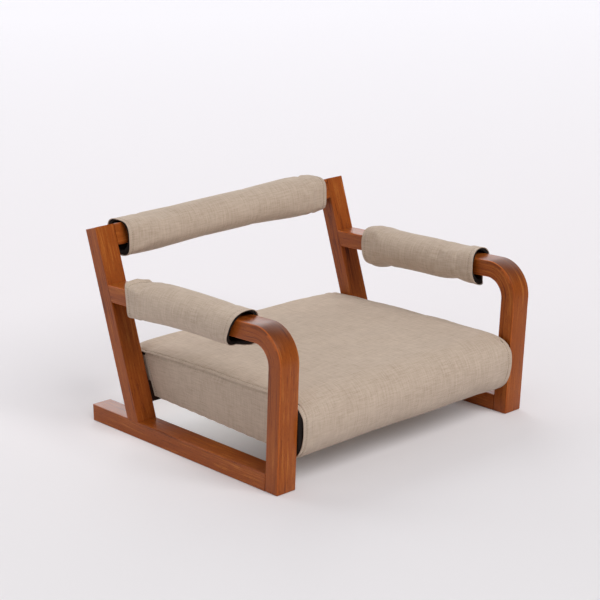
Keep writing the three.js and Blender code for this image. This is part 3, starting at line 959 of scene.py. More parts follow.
    def _side_face(self, name: str, rows: Sequence[np.ndarray]) -> bpy.types.Object:
        """Shapes a grid primitive into the arm's side face, on the side of lower X.

        Args:
            name: The new object's name.
            rows: Outlines from the outer one to the inner one.

        Returns:
            The flat side face as an object.
        """
        deselect()
        columns, lines = len(rows[0]) - 1, len(rows) - 1
        bpy.ops.mesh.primitive_grid_add(x_subdivisions=columns, y_subdivisions=lines, size=1)
        obj = bpy.context.object
        obj.name = obj.data.name = name
        points = coordinates_of(obj.data)
        column = np.rint((points[:, 0] + 0.5) * columns).astype(int)
        line = np.rint((points[:, 1] + 0.5) * lines).astype(int)
        x = np.full(len(points), self.middle_x - self.width / 2)
        move_points(obj.data, np.column_stack([x, np.array(rows)[line, column]]))
        return obj

    def _ease_edges(self, obj: bpy.types.Object) -> None:
        """Rounds the four long edges and those at the foot, and leaves the glued end sharp.

        Args:
            obj: The arm's object.
        """
        mesh = obj.data
        points = coordinates_of(mesh)
        normals = {}
        for face in mesh.polygons:
            for key in face.edge_keys:
                normals.setdefault(key, []).append(face.normal.copy())
        end = points[:, 1].max() - self.glued_end
        near = 1 * MM * MM
        activate(obj)
        bpy.ops.object.mode_set(mode="EDIT")
        bpy.ops.mesh.select_mode(type="EDGE")
        bpy.ops.mesh.select_all(action="DESELECT")
        bpy.ops.object.mode_set(mode="OBJECT")
        for edge in mesh.edges:
            faces = normals[tuple(sorted(edge.vertices))]
            a, b = (points[corner] for corner in edge.vertices)
            across, along, rise = np.abs(a - b)
            behind = min(a[1], b[1]) > end
            at_glued_end = behind and (across > near or (along + rise > near and rise > along))
            on_face = all(abs(abs(p[0] - self.middle_x) - self.width / 2) < near for p in (a, b))
            sharp = len(faces) == 2 and faces[0].angle(faces[1]) > self.sharp_angle
            edge.select = sharp and on_face and not at_glued_end
        with editing(obj, select=False):
            bpy.ops.mesh.bevel(
                offset=self.eased_edge,
                segments=self.eased_steps,
                affect="EDGES",
                clamp_overlap=True,
            )

    def _store_grain(self, obj: bpy.types.Object, middle: np.ndarray) -> None:
        """Stores where each point lies in the bent bar, and a factor for its colour there.

        The factor darkens the outside of the bend, and lightens the eased edges as a painted
        highlight.

        Args:
            obj: The arm's object.
            middle: The bar's middle line.
        """
        starts = run_along(middle)
        points = coordinates_of(obj.data)
        flat = points[:, 1:]
        best = np.full(len(flat), np.inf)
        along = np.zeros(len(flat))
        through = np.zeros(len(flat))
        for i, step in enumerate(np.diff(middle, axis=0)):
            length = np.linalg.norm(step)
            unit = step / length
            part = np.clip((flat - middle[i]) @ unit, 0, length)
            away = flat - (middle[i] + part[:, None] * unit)
            distance = np.linalg.norm(away, axis=1)
            signed = away @ np.array([-unit[1], unit[0]])
            nearer = distance < best
            best[nearer] = distance[nearer]
            along[nearer] = starts[i] + part[nearer]
            through[nearer] = signed[nearer]
        grain = np.column_stack([along, points[:, 0], through]).astype(np.float32)
        attribute = obj.data.attributes.new("grain", "FLOAT_VECTOR", "POINT")
        attribute.data.foreach_set("vector", grain.ravel())
        first, last = starts[self.post_steps], starts[self.post_steps + self.bend_steps]
        round_bend = peak((along - first) / (last - first) - self.stain_place, self.stain_reach)
        outside = smooth_steps(self.outside_from, 1.0, through / (BAR_THICKNESS / 2))
        from_side = self.width / 2 - np.abs(points[:, 0] - self.middle_x)
        from_face = BAR_THICKNESS / 2 - np.abs(through)
        # The middle of the eased edges, which gets a painted highlight.
        eased = np.maximum(from_side, from_face) < self.worn_share * self.eased_edge
        eased = eased.astype(float)
        stain = 1 - self.bend_stain * round_bend * outside * (1 - eased) + self.edge_wear * eased
        attribute = obj.data.attributes.new("stain", "FLOAT", "POINT")
        attribute.data.foreach_set("value", stain.astype(np.float32))


class CrossMembers:
    """The rails between the side frames, and the board with its cleats and screws."""

    def dress(self, finishes: Finishes) -> None:
        """Finishes the rails, the board and the fixings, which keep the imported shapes.

        Args:
            finishes: The chair's finishes.
        """
        for rail in ("top_rail", "seat_front_rail", "seat_rear_rail"):
            # The seat rails are near-black: painted shade on their ends at the seat's corners.
            stain = finishes.hardwood if rail == "top_rail" else finishes.seat_rail_stain
            dress_node(rail, finishes.member(rail, Vector((1, 0, 0)), stain=stain))
            for side in Side:
                for number in (1, 2):
                    dress_node(f"{rail}_dowel_{side.word}_{number}", finishes.bare_wood)
        for name in ("seat_board", "seat_front_cleat", "seat_rear_cleat"):
            dress_node(name, finishes.bare_wood)
        for number in (1, 2, 3, 4):
            dress_node(f"seat_board_screw_{number}", finishes.zinc)


# Cloth


HEM_PLACES = [place * MM for place in (0, 0.8, 2, 4, 6, 7.2, 8, 8.8, 10.2, 12.5, 16, 20)]
STITCH_DISTANCE = 8 * MM
STITCH_PLACE = HEM_PLACES.index(STITCH_DISTANCE)


@dataclass
class ClothGrid:
    """A panel as rows and columns of points, with a cloth's flat size kept for the weave."""

    name: str
    points: np.ndarray
    flat: np.ndarray | None = None
    tube: bool = False

    def make(self) -> bpy.types.Object:
        """Makes the panel's mesh.

        Returns:
            The object, whose map flat_cloth holds the flat coordinates in metres.
        """
        rows, columns = self.points.shape[:2]
        faces, corners = [], []
        for row in range(rows - 1):
            for column in range(columns if self.tube else columns - 1):
                steps = ((0, 0), (0, 1), (1, 1), (1, 0))
                places = [(row + down, column + over) for down, over in steps]
                faces.append([down * columns + over % columns for down, over in places])
                corners += places
        mesh = bpy.data.meshes.new(self.name)
        mesh.from_pydata(self.points.reshape(-1, 3).tolist(), [], faces)
        if self.flat is not None:
            uv = mesh.uv_layers.new(name="flat_cloth")
            uv.data.foreach_set("uv", np.array([self.flat[place] for place in corners]).ravel())
        return add_object(self.name, mesh)


@dataclass(frozen=True)
class Settling:
    """How a cloth panel settles over its padding in a short simulation."""

    pressure: float = 4.0
    spare: float = 0.015
    frames: int = 16
    cap: float = 2.5 * MM

    def run(self, obj: bpy.types.Object, held: np.ndarray) -> None:
        """Simulates the panel and keeps the result in its mesh.

        Args:
            obj: The panel.
            held: How firmly each point is held, from 0 to 1.
        """
        scene = bpy.context.scene
        before = coordinates_of(obj.data)
        group = obj.vertex_groups.new(name="held")
        for level in np.unique(np.round(held, 2)):
            members = np.nonzero(np.round(held, 2) == level)[0]
            if level > 0:
                group.add(members.tolist(), float(level), "REPLACE")
        activate(obj)
        cloth = obj.modifiers.new("Cloth", "CLOTH")
        settings = cloth.settings
        settings.quality = 5
        settings.mass = 0.3
        settings.tension_stiffness = settings.compression_stiffness = 12
        settings.shear_stiffness = 4
        settings.bending_stiffness = 0.6
        settings.vertex_group_mass = "held"
        settings.pin_stiffness = 1.0
        settings.use_pressure = True
        settings.uniform_pressure_force = self.pressure
        settings.shrink_min = -self.spare
        settings.effector_weights.gravity = 0
        cloth.point_cache.frame_start = 1
        cloth.point_cache.frame_end = self.frames
        for number in range(1, self.frames + 1):
            scene.frame_set(number)
        graph = bpy.context.evaluated_depsgraph_get()
        settled = coordinates_of(obj.evaluated_get(graph).to_mesh())
        obj.modifiers.remove(cloth)
        obj.vertex_groups.remove(group)
        scene.frame_set(1)
        moved = settled - before
        distance = np.linalg.norm(moved, axis=1, keepdims=True) + 1e-12
        moved *= self.cap * np.tanh(distance / self.cap) / distance
        moved *= 1 - held[:, None] ** 2
        move_points(obj.data, before + moved)


@dataclass(frozen=True)
class StitchRow:
    """A row of lockstitches along a line on cloth."""

    pitch: float = 4.0 * MM
    length: float = 2.9 * MM
    radius: float = 0.5 * MM
    lift: float = 0.25 * MM
    sunk: float = 0.25 * MM

    def lay(
        self, name: str, line: np.ndarray, normals: np.ndarray, closed: bool = False
    ) -> bpy.types.Object:
        """Lays one stitch after another along a line.

        Args:
            name: The row's name.
            line: Points along the seam.
            normals: The cloth's normals there.
            closed: Whether the seam ends where it starts.

        Returns:
            The row as one object.
        """
        template, faces = self._template()
        if closed:
            line = np.vstack([line, line[:1]])
            normals = np.vstack([normals, normals[:1]])
        run = run_along(line)
        count = max(int(run[-1] / self.pitch), 2)
        half = self.length / 2
        points, all_faces = [], []
        for place in (np.arange(count) + 0.5) * run[-1] / count:
            ends = [read_line(place + reach, run, line) for reach in (-half, half)]
            normal = read_line(place, run, normals)
            along = ends[1] - ends[0]
            along /= np.linalg.norm(along) + 1e-12
            normal -= along * (normal @ along)
            normal /= np.linalg.norm(normal) + 1e-12
            axes = np.array([along, np.cross(normal, along), normal])
            all_faces += [tuple(i + len(points) * len(template) for i in face) for face in faces]
            points.append(template @ axes + (ends[0] + ends[1]) / 2 + normal * self.lift)
        mesh = bpy.data.meshes.new(name)
        mesh.from_pydata(np.vstack(points).tolist(), [], all_faces)
        shade_smooth(mesh)
        return add_object(name, mesh)

    def _template(self) -> tuple[np.ndarray, list[tuple[int, ...]]]:
        """Makes one stitch along X, thick in the middle and sunk at both ends.

        Returns:
            Its points, and its faces as rows of point numbers.
        """
        deselect()
        bpy.ops.mesh.primitive_uv_sphere_add(segments=6, ring_count=5, radius=1)
        obj = bpy.context.object
        points = coordinates_of(obj.data)[:, [2, 0, 1]]
        faces = [tuple(face.vertices) for face in obj.data.polygons]
        bpy.data.objects.remove(obj)
        points = points * np.array([self.length / 2, self.radius, self.radius])
        points[:, 2] -= self.sunk * (points[:, 0] / (self.length / 2)) ** 2
        return points, faces


# The sleeves


@dataclass(frozen=True)
class Section:
    """A sleeve's reach up, down and sideways from its axis, at a share of its length."""

    share: float
    top: float
    bottom: float
    side: float


def sections(*rows: tuple[float, float, float, float]) -> tuple[Section, ...]:
    """Makes a sleeve's sections from rows of a share and three reaches in millimetres."""
    return tuple(Section(share, *(reach * MM for reach in reaches)) for share, *reaches in rows)


BACK_SLEEVE = sections(
    (0.0, 29.7, 35.4, 33),
    (0.16, 30.2, 37.0, 34.5),
    (0.40, 33.5, 34.3, 35.5),
    (0.62, 35.8, 33.2, 36),
    (0.88, 38.0, 35.6, 36),
    (0.945, 37.8, 34.6, 35.5),
    (0.98, 36.6, 32.6, 34.5),
    (1.0, 34.0, 30.6, 33),
)
LEFT_ARM_SLEEVE = sections(
    (0.0, 30.2, 32.8, 33.5),
    (0.13, 31.0, 32.6, 34),
    (0.27, 33.0, 31.5, 34),
    (0.56, 35.5, 30.4, 34),
    (0.84, 33.2, 30.2, 34),
    (0.895, 32.0, 30.6, 33),
    (0.935, 29.4, 30.2, 31.5),
    (0.97, 31.0, 30.0, 31),
    (1.0, 35.6, 29.8, 30.8),
)
RIGHT_ARM_SLEEVE = sections(
    (0.0, 31.6, 34.4, 31),
    (0.06, 31.8, 34.2, 32.5),
    (0.16, 31.6, 33.0, 34),
    (0.29, 32.0, 36.6, 34),
    (0.46, 33.6, 35.8, 34),
    (0.66, 34.4, 35.6, 34),
    (0.80, 35.8, 37.0, 34),
    (0.92, 36.8, 42.4, 33),
    (1.0, 33.0, 39.0, 30.5),
)


@dataclass(frozen=True)
class SleeveEnd:
    """How an end of a sleeve hangs out of true, in millimetres. Square only squares its outline."""

    slant: float = 0.0
    side: float = 0.0
    bottom: float = 0.0
    corner: float = 0.0
    corner_drop: float = 0.0
    top_drop: float = 0.0
    square: float = 0.0


@dataclass
class Sleeve:
    """A loose sleeve round a bar: a foam tube in a hemmed linen cover."""

    word: str
    sections: tuple[Section, ...]
    start: SleeveEnd
    end: SleeveEnd
    seed: int
    hole: float
    cover_thickness: float = 1.3 * MM
    hem_thickness: float = 0.5 * MM
    stitch_dent: float = 0.7 * MM
    dent_width: float = 1.2 * MM
    crease: float = 0.25 * MM
    crease_length: float = 60 * MM
    crease_girth: float = 35 * MM
    crease_stretch: float = 0.6
    settled_from: float = 28 * MM
    thinnest_wall: float = 0.6 * MM
    foam_gap: float = 0.4 * MM
    foam_rounding: float = 0.5 * MM
    fill: float = 0.55
    roundness: float = 2.15
    end_power: int = 7
    sides: int = 72
    spacing: float = 5 * MM

    def build(self) -> list[bpy.types.Object]:
        """Makes the cover, the foam tube and both rows of stitches.

        Returns:
            The cover, the padding and the stitch rows.
        """
        joint = next(j for j in frame["joints"] if j["child"] == f"{self.word}_sleeve")
        self.centre = np.array(joint["pos_m"], float)
        self.axis = np.array(joint["axis"], float)
        self.axis /= np.linalg.norm(self.axis)
        crosswise = abs(self.axis[0]) > 0.9
        self.side = np.array([0.0, -1.0, 0.0] if crosswise else [1.0, 0.0, 0.0])
        self.up = np.cross(self.side, self.axis)
        self.up *= math.copysign(1, self.up[2])
        low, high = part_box(f"{self.word}_sleeve_cover")
        spread = high - low
        if crosswise:
            self.length = spread.x
        else:
            self.length = (spread.y - spread.x * abs(self.axis[2])) / abs(self.axis[1])
        cover = self._cover()
        padding = self._padding(coordinates_of(cover.data).reshape(-1, self.sides, 3))
        return [cover, padding, *self._stitches(cover)]

    def dress(self, pieces: Sequence[bpy.types.Object], finishes: Finishes) -> None:
        """Finishes the sleeve's pieces and hangs them on its body.

        Args:
            pieces: What build returned.
            finishes: The chair's finishes.
        """
        body = f"{self.word}_sleeve"
        cover, padding, *rows = pieces
        dress_piece(cover, finishes.linen, "linen", body, f"{body}_cover")
        dress_piece(padding, finishes.black_foam, "black_foam", body, f"{body}_padding")
        for row in rows:
            dress_piece(row, finishes.thread, "linen", body)

    def _place(self, along: np.ndarray, angle: np.ndarray) -> np.ndarray:
        """Points of the cover at lengths along the axis and angles from the top.

        Args:
            along: Lengths from the start, one for each row.
            angle: Angles, one for each column.

        Returns:
            The points, rows by columns by three.
        """
        share = (along / self.length)[:, None]
        top, bottom, wide = (self._reach(key, share) for key in ("top", "bottom", "side"))
        up, aside = np.cos(angle)[None, :], np.sin(angle)[None, :]
        ends = (((1 - share) ** self.end_power, self.start), (share**self.end_power, self.end))
        power = self.roundness + sum(near * end.square for near, end in ends)
        scale = (np.abs(up) ** power + np.abs(aside) ** power) ** (-1 / power)
        vertical = up * scale * (top + bottom) / 2 + (top - bottom) / 2
        sideways = aside * scale * wide
        position = (along - self.length / 2)[:, None] * np.ones_like(up)
        inner, outer = np.clip(-aside, 0, None), np.clip(aside, 0, None)
        lower, upper = np.clip(-up, 0, None), np.clip(up, 0, None)
        for near, end in ends:
            pull = end.slant * up + end.side * inner + end.bottom * lower**2
            pull = pull + end.corner * 2 * outer * lower
            drop = end.corner_drop * 2 * outer * lower + end.top_drop * 2 * outer * upper
            position += near * pull * MM
            vertical -= near * drop * MM
        return (
            self.centre
            + position[..., None] * self.axis
            + vertical[..., None] * self.up
            + sideways[..., None] * self.side
        )

    def _reach(self, key: str, share: float | np.ndarray) -> np.ndarray:
        """The sections' reach one way at shares of the length."""
        places, reaches = zip(*((s.share, getattr(s, key)) for s in self.sections))
        return curve_through(places, reaches, np.clip(share, 0, 1))

    def _cover(self) -> bpy.types.Object:
        """Makes the linen cover, with turned hems, dents along the stitch rows and soft creases.

        Returns:
            The cover as a sheet without thickness.
        """
        along = ends_then_even(self.length, HEM_PLACES, self.spacing)
        angle = np.arange(self.sides) * 2 * math.pi / self.sides
        points = self._place(along, angle)
        from_end = np.minimum(along, self.length - along)
        hem = 1 - smooth_steps(STITCH_DISTANCE - 1 * MM, STITCH_DISTANCE, from_end)
        hem *= self.hem_thickness
        hem -= self.stitch_dent * peak(from_end - STITCH_DISTANCE, self.dent_width)
        outward = points - points.mean(axis=1, keepdims=True)
        outward /= np.linalg.norm(outward, axis=2, keepdims=True)
        girth = self._reach("top", np.array([0.5]))[0] * 2 * math.pi
        flat = np.empty((len(along), self.sides + 1, 2))
        flat[:, :, 0] = along[:, None]
        flat[:, :, 1] = np.linspace(0, girth, self.sides + 1)[None, :]
        spots = np.column_stack([
            (flat[:, :-1, 0] * self.crease_stretch).ravel(),
            np.tile(np.cos(angle), len(along)) * self.crease_girth,
            np.tile(np.sin(angle), len(along)) * self.crease_girth,
        ])
        field = waves(self.seed, self.crease_length, spots).reshape(len(along), self.sides)
        points = points + outward * (hem[:, None] + self.crease * field)[..., None]
        obj = ClothGrid(f"{self.word}_sleeve_linen", points, flat, tube=True).make()
        held = 1 - smooth_steps(0.5 * STITCH_DISTANCE, self.settled_from, from_end)
        Settling().run(obj, np.repeat(held, self.sides))
        feet, radial = self._split(coordinates_of(obj.data))
        distance = np.linalg.norm(radial, axis=1, keepdims=True)
        least = self.hole + self.thinnest_wall + self.cover_thickness + self.foam_gap
        move_points(obj.data, feet + radial * np.maximum(distance, least) / distance)
        return obj

    def _split(self, points: np.ndarray) -> tuple[np.ndarray, np.ndarray]:
        """Splits points into their feet on the hinge's axis and what stands off it."""
        feet = self.centre + ((points - self.centre) @ self.axis)[:, None] * self.axis
        return feet, points - feet

    def _stitches(self, cover: bpy.types.Object) -> list[bpy.types.Object]:
        """Lays the stitch rows, and then gives the cover its thickness.

        Args:
            cover: The cover as a sheet.

        Returns:
            The rows.
        """
        points, normals = coordinates_of(cover.data), normals_of(cover.data)
        rows = len(points) // self.sides
        seams = []
        for word, number in (("start", STITCH_PLACE), ("end", rows - 1 - STITCH_PLACE)):
            row = slice(number * self.sides, (number + 1) * self.sides)
            name = f"{self.word}_sleeve_stitches_{word}"
            seams.append(StitchRow().lay(name, points[row], normals[row], closed=True))
        thicken(cover, self.cover_thickness)
        return seams

    def _padding(self, cover: np.ndarray) -> bpy.types.Object:
        """Makes the foam tube: round inside, and outside as the settled cover is.

        Args:
            cover: The cover's points, rows along the sleeve by columns round it.

        Returns:
            The closed tube.
        """
        near = [2, 4, 6, 8, 10]
        rows = [*near, *range(near[-1] + 2, len(cover) - near[-1], 2)]
        rows += [len(cover) - 1 - row for row in reversed(near[:-1])]
        feet, radial = self._split(cover[rows].reshape(-1, 3))
        distance = np.linalg.norm(radial, axis=1, keepdims=True)
        unit = radial / distance
        reach = distance - self.cover_thickness - self.foam_gap
        shape = (len(rows), self.sides, 3)
        outer = (feet + unit * np.maximum(reach, self.hole + self.thinnest_wall)).reshape(shape)
        inner = (feet + unit * self.hole).reshape(shape)
        start = (outer[0] + inner[0]) / 2 - self.axis * self.foam_rounding
        end = (outer[-1] + inner[-1]) / 2 + self.axis * self.foam_rounding
        loop = np.concatenate([[start], outer, [end], inner[::-1], [start]])
        obj = ClothGrid(f"{self.word}_sleeve_foam", loop, tube=True).make()
        close_and_smooth(obj)
        return obj


# The seat


@dataclass
class SeatShape:
    """The seat's outer surface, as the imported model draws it."""

    half_inside: float = 259 * MM
    wrap_half: float = 254.5 * MM
    nose_reach: float = 18.3 * MM
    nose_depth: float = 80 * MM
    nose_under: float = 45.5 * MM
    top: float = 150 * MM
    edge_rise: float = 5 * MM
    edge_power: int = 30
    crown: float = 3 * MM
    rear_power: int = 4
    rear_keep: float = 0.3
    corner_fall: float = 5 * MM
    rear_radius: float = 14 * MM
    rear_overhang: float = 14 * MM
    rear_draw_in: float = 7 * MM
    draw_from: float = 20 * MM
    draw_over: float = 25 * MM
    rear_foot: float = 54 * MM
    board_under: float = 81 * MM
    board_gap: float = 0.4 * MM
    rear_setback: float = 105 * MM
    nose_steps: int = 140
    rear_steps: int = 10

    NOSE = (
        (1, 0.168), (0.76, 0.043), (0.585, 0), (0.41, 0.024), (0.285, 0.081), (0.147, 0.191),
        (0.05, 0.359), (0.006, 0.524), (0, 0.639), (0.011, 0.743), (0.08, 0.8375),
        (0.1975, 0.918), (0.36, 0.966), (0.57, 0.992), (1, 1),
    )

    def __post_init__(self) -> None:
        """Finds the runner's front and the posts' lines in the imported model."""
        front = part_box("runner_left")[1].y - RUNNER_LENGTH
        self.nose_front = front - self.nose_reach
        self.post_rear = front + RUNNER_LENGTH - self.rear_setback
        self.top_end = self.post_front_at(self.top)

    def post_rear_at(self, height: float | np.ndarray) -> float | np.ndarray:
        """Y of the rear posts' rear face at a height."""
        return self.post_rear + (height - BAR_THICKNESS) * math.tan(REAR_LEAN)

    def post_front_at(self, height: float | np.ndarray) -> float | np.ndarray:
        """Y of the rear posts' front face at a height."""
        return self.post_rear_at(height) - BAR_THICKNESS / math.cos(REAR_LEAN)

    def rise(self, x: np.ndarray, y: np.ndarray) -> np.ndarray:
        """Finds how far the top stands over its stated level.

        Args:
            x: Places across.
            y: Places along.

        Returns:
            The heights over the level.
        """
        back = np.clip((y - self.nose_front) / (self.top_end - self.nose_front), 0, 1)
        back = back**self.rear_power
        out = np.minimum(np.abs(x) / self.wrap_half, 1)
        rise = self.edge_rise * (1 - out**self.edge_power) + self.crown * (1 - out**2)
        return rise * (1 + (self.rear_keep - 1) * back) - self.corner_fall * out**2 * back

    def path(self, spacing: float) -> np.ndarray:
        """The side outline at the level edge, from under the board round to the rear foot.

        Args:
            spacing: The distance between the points.

        Returns:
            Even points in Y and Z.
        """
        shares = np.array(self.NOSE)
        run = run_along(shares)
        fine = np.linspace(0, run[-1], self.nose_steps)
        y = self.nose_front + self.nose_depth * curve_through(run, shares[:, 0], fine)
        z = self.nose_under + (self.top - self.nose_under) * curve_through(run, shares[:, 1], fine)
        nose = np.column_stack([y, z])
        first, second = nose[:2]
        under = first + (second - first) * (
            (self.board_under - self.board_gap - first[1]) / (second - first)[1]
        )
        overhang = self.rear_overhang / math.cos(REAR_LEAN)
        half = (math.pi / 2 + REAR_LEAN) / 2
        corner = np.array([self.post_rear_at(self.top) + overhang, self.top])
        centre = corner - np.array([self.rear_radius / math.tan(half), self.rear_radius])
        turns = math.pi / 2 - np.linspace(0, math.pi - 2 * half, self.rear_steps)
        arc = centre + self.rear_radius * np.column_stack([np.cos(turns), np.sin(turns)])
        foot = [self.post_rear_at(self.rear_foot) + overhang, self.rear_foot]
        line = np.vstack([under, nose, arc, foot])
        run = run_along(line)
        even = np.linspace(0, run[-1], int(run[-1] / spacing) + 1)
        return read_line(even, run, line).T

    def raised(
        self, x: np.ndarray, y: np.ndarray, z: np.ndarray
    ) -> tuple[np.ndarray, np.ndarray]:
        """Lifts the top, and draws the rear in at the middle of the width.

        Args:
            x: Places across.
            y: Places along.
            z: Heights on the level outline.

        Returns:
            The moved Y and Z.
        """
        up = np.clip((z - self.nose_under) / (self.top - self.nose_under), 0, 1) ** 2
        lifted = z + self.rise(x, np.minimum(y, self.top_end)) * up
        middle = np.cos(np.clip(np.abs(x) / self.half_inside, 0, 1) * math.pi / 2) ** 2
        start = self.post_front_at(z) + self.draw_from
        pulled = smooth_steps(0, self.draw_over, y - start)
        return y - self.rear_draw_in * middle * pulled, lifted


@dataclass
class Seat:
    """The wrapped seat: the linen band, the boxed cushion, and the black padding at both ends."""

    shape: SeatShape
    band_thickness: float = 1.7 * MM
    band_spacing: float = 4 * MM
    band_across: float = 6 * MM
    band_taper: float = 6.5 * MM
    taper_length: float = 0.018
    held_length: float = 30 * MM
    held_edge: float = 22 * MM
    edge_hold: float = 0.85
    seam_dent: float = 1.7 * MM
    dent_width: float = 1.5 * MM
    crease: float = 0.5 * MM
    crease_length: float = 90 * MM
    crease_seed: int = 5
    pucker: float = 0.9 * MM
    pucker_seed: int = 9
    pucker_length: float = 26 * MM
    pucker_width: float = 6 * MM
    pucker_stretch: float = 0.35
    cover_half: float = 253.5 * MM
    cover_depth: float = 2.6 * MM
    cover_radius: float = 5 * MM
    cover_front_hem: float = 56 * MM
    cover_rear_hem: float = 66.5 * MM
    cover_thickness: float = 1.2 * MM
    cover_rows: int = 64
    side_points: int = 16
    corner_points: int = 6
    top_points: int = 25
    inner_points: int = 5
    corner_inset: float = 12 * MM
    corner_start: float = 0.15
    crease_angle: float = math.radians(50)
    draw_in: float = 2.5 * MM
    panel_bulge: float = 1.2 * MM
    panel_pucker: float = 0.8 * MM
    panel_fade: float = 9 * MM
    panel_hem: float = 1 * MM
    stitch_inset: float = 6 * MM
    stitch_ends: tuple[float, float] = (3 * MM, 8 * MM)
    stitch_points: int = 20
    side_overlap: float = 9 * MM
    frame_gap: float = 0.4 * MM
    layer_gap: float = 0.6 * MM
    foam_voxel: float = 4 * MM
    press_from: float = 12 * MM

    def build(self) -> dict[str, bpy.types.Object]:
        """Makes every piece of the seat.

        Returns:
            The pieces by what they are.
        """
        band = self._band()
        pieces = {"band": band, "cushion": self._cushion()}
        for row in (*self.band_stitches, *self._panel_stitches()):
            pieces[row.name] = row
        pieces["nose"] = self._foam("seat_nose_padding", "seat_nose_foam")
        pieces["rear"] = self._foam("seat_rear_padding", "seat_rear_foam")
        return pieces

    def dress(self, pieces: dict[str, bpy.types.Object], finishes: Finishes) -> None:
        """Finishes the seat's pieces and fixes them to the frame.

        Args:
            pieces: What build returned.
            finishes: The chair's finishes.
        """
        cloths = {"band": ["seat_wrap"], "cushion": ["seat_cushion_cover", "seat_cushion_foam"]}
        for key, nodes in cloths.items():
            dress_piece(pieces[key], finishes.linen, "linen", "frame", *nodes)
        for key in ("nose", "rear"):
            node = f"seat_{key}_padding"
            dress_piece(pieces[key], finishes.black_foam, "black_foam", "frame", node)
        for key, piece in pieces.items():
            if "stitches" in key:
                dress_piece(piece, finishes.thread, "linen", "frame")

    def _band(self) -> bpy.types.Object:
        """Makes the linen band round the nose, over the top and down the back, and its stitches.

        Returns:
            The band.
        """
        shape = self.shape
        line = shape.path(self.band_spacing)
        run = run_along(line)
        self.band_flat = (float(2 * shape.wrap_half), float(run[-1]))
        across = ends_then_even(2 * shape.wrap_half, HEM_PLACES, self.band_across)
        across = across - shape.wrap_half
        x = np.tile(across, (len(line), 1))
        y, z = shape.raised(x, line[:, :1] + 0 * x, line[:, 1:] + 0 * x)
        under = smooth_steps(self.taper_length, 0.0, run)[:, None]
        x = x * (1 - under * self.band_taper / shape.wrap_half)
        points = np.stack([x, y, z], axis=-1)
        flat = np.stack(np.meshgrid(across, run), axis=-1)
        obj = ClothGrid("seat_band_linen", points, flat).make()
        normals = normals_of(obj.data).reshape(points.shape)
        from_edge = shape.wrap_half - np.abs(across)
        from_seam = from_edge - STITCH_DISTANCE
        dent = self.seam_dent * peak(from_seam, self.dent_width)
        runs = run.repeat(len(across))
        field = waves(self.crease_seed, self.crease_length, np.column_stack([x.ravel(), runs]))
        spots = np.column_stack([self.pucker_stretch * x.ravel(), runs])
        gather = waves(self.pucker_seed, self.pucker_length, spots)
        gather = np.clip(gather.reshape(x.shape), 0, None) * peak(from_seam, self.pucker_width)
        relief = -dent + self.crease * field.reshape(x.shape) - self.pucker * gather
        move_points(obj.data, (points + normals * relief[..., None]).reshape(-1, 3))
        along = np.minimum(run, run[-1] - run)
        held = np.maximum(
            1 - smooth_steps(0, self.held_length, along)[:, None],
            self.edge_hold * (1 - smooth_steps(0, self.held_edge, from_edge))[None, :],
        )
        Settling(pressure=1.5, spare=0.004, cap=2 * MM).run(obj, held.ravel())
        grid = coordinates_of(obj.data).reshape(points.shape)
        normals = normals_of(obj.data).reshape(points.shape)
        self.band_stitches = [
            StitchRow().lay(f"seat_band_stitches_{side.word}", grid[:, place], normals[:, place])
            for side, place in ((Side.LEFT, STITCH_PLACE), (Side.RIGHT, -1 - STITCH_PLACE))
        ]
        thicken(obj, self.band_thickness)
        return obj

    def _cushion(self) -> bpy.types.Object:
        """Makes the boxed cushion with its hanging sides, as one closed form.

        Returns:
            The cushion.
        """
        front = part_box("seat_front_rail")[1].y + self.layer_gap
        board_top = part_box("seat_board")[1].z + self.layer_gap
        count = self.cover_rows
        points = np.array([
            self._cushion_section(front, share, board_top) for share in np.linspace(0, 1, count)
        ])
        perimeter = run_along(points[count // 2])
        flat = np.empty((count, points.shape[1] + 1, 2))
        flat[..., 1] = np.linspace(0, self.shape.top_end - front, count)[:, None]
        flat[:, :-1, 0] = perimeter[None, :]
        flat[:, -1, 0] = perimeter[-1] + 1 * MM
        obj = ClothGrid("seat_cushion_linen", points, flat, tube=True).make()
        with editing(obj):
            bpy.ops.mesh.select_all(action="DESELECT")
            bpy.ops.mesh.select_non_manifold()
            bpy.ops.mesh.fill_holes(sides=0)
        bpy.ops.object.shade_smooth_by_angle(angle=self.crease_angle)
        return obj

    def _cushion_section(self, front: float, share: float, board_top: float) -> np.ndarray:
        """Draws one section across the cushion, a closed line that starts under its left side.

        Args:
            front: Y of the cushion's front.
            share: The place along, from 0 at the front to 1 at the rear.
            board_top: The board's top.

        Returns:
            The section's points.
        """
        shape = self.shape

        def y_at(z: float, past_post: float) -> float:
            """Y of the section at a height."""
            return front + (shape.post_front_at(z) + past_post - front) * share

        def lifted(x: float, z: float) -> tuple[float, float, float]:
            """A point of the top, lifted as the top is."""
            y = y_at(z, -self.layer_gap)
            return x, y, z + float(shape.rise(np.array(x), np.array(y)))

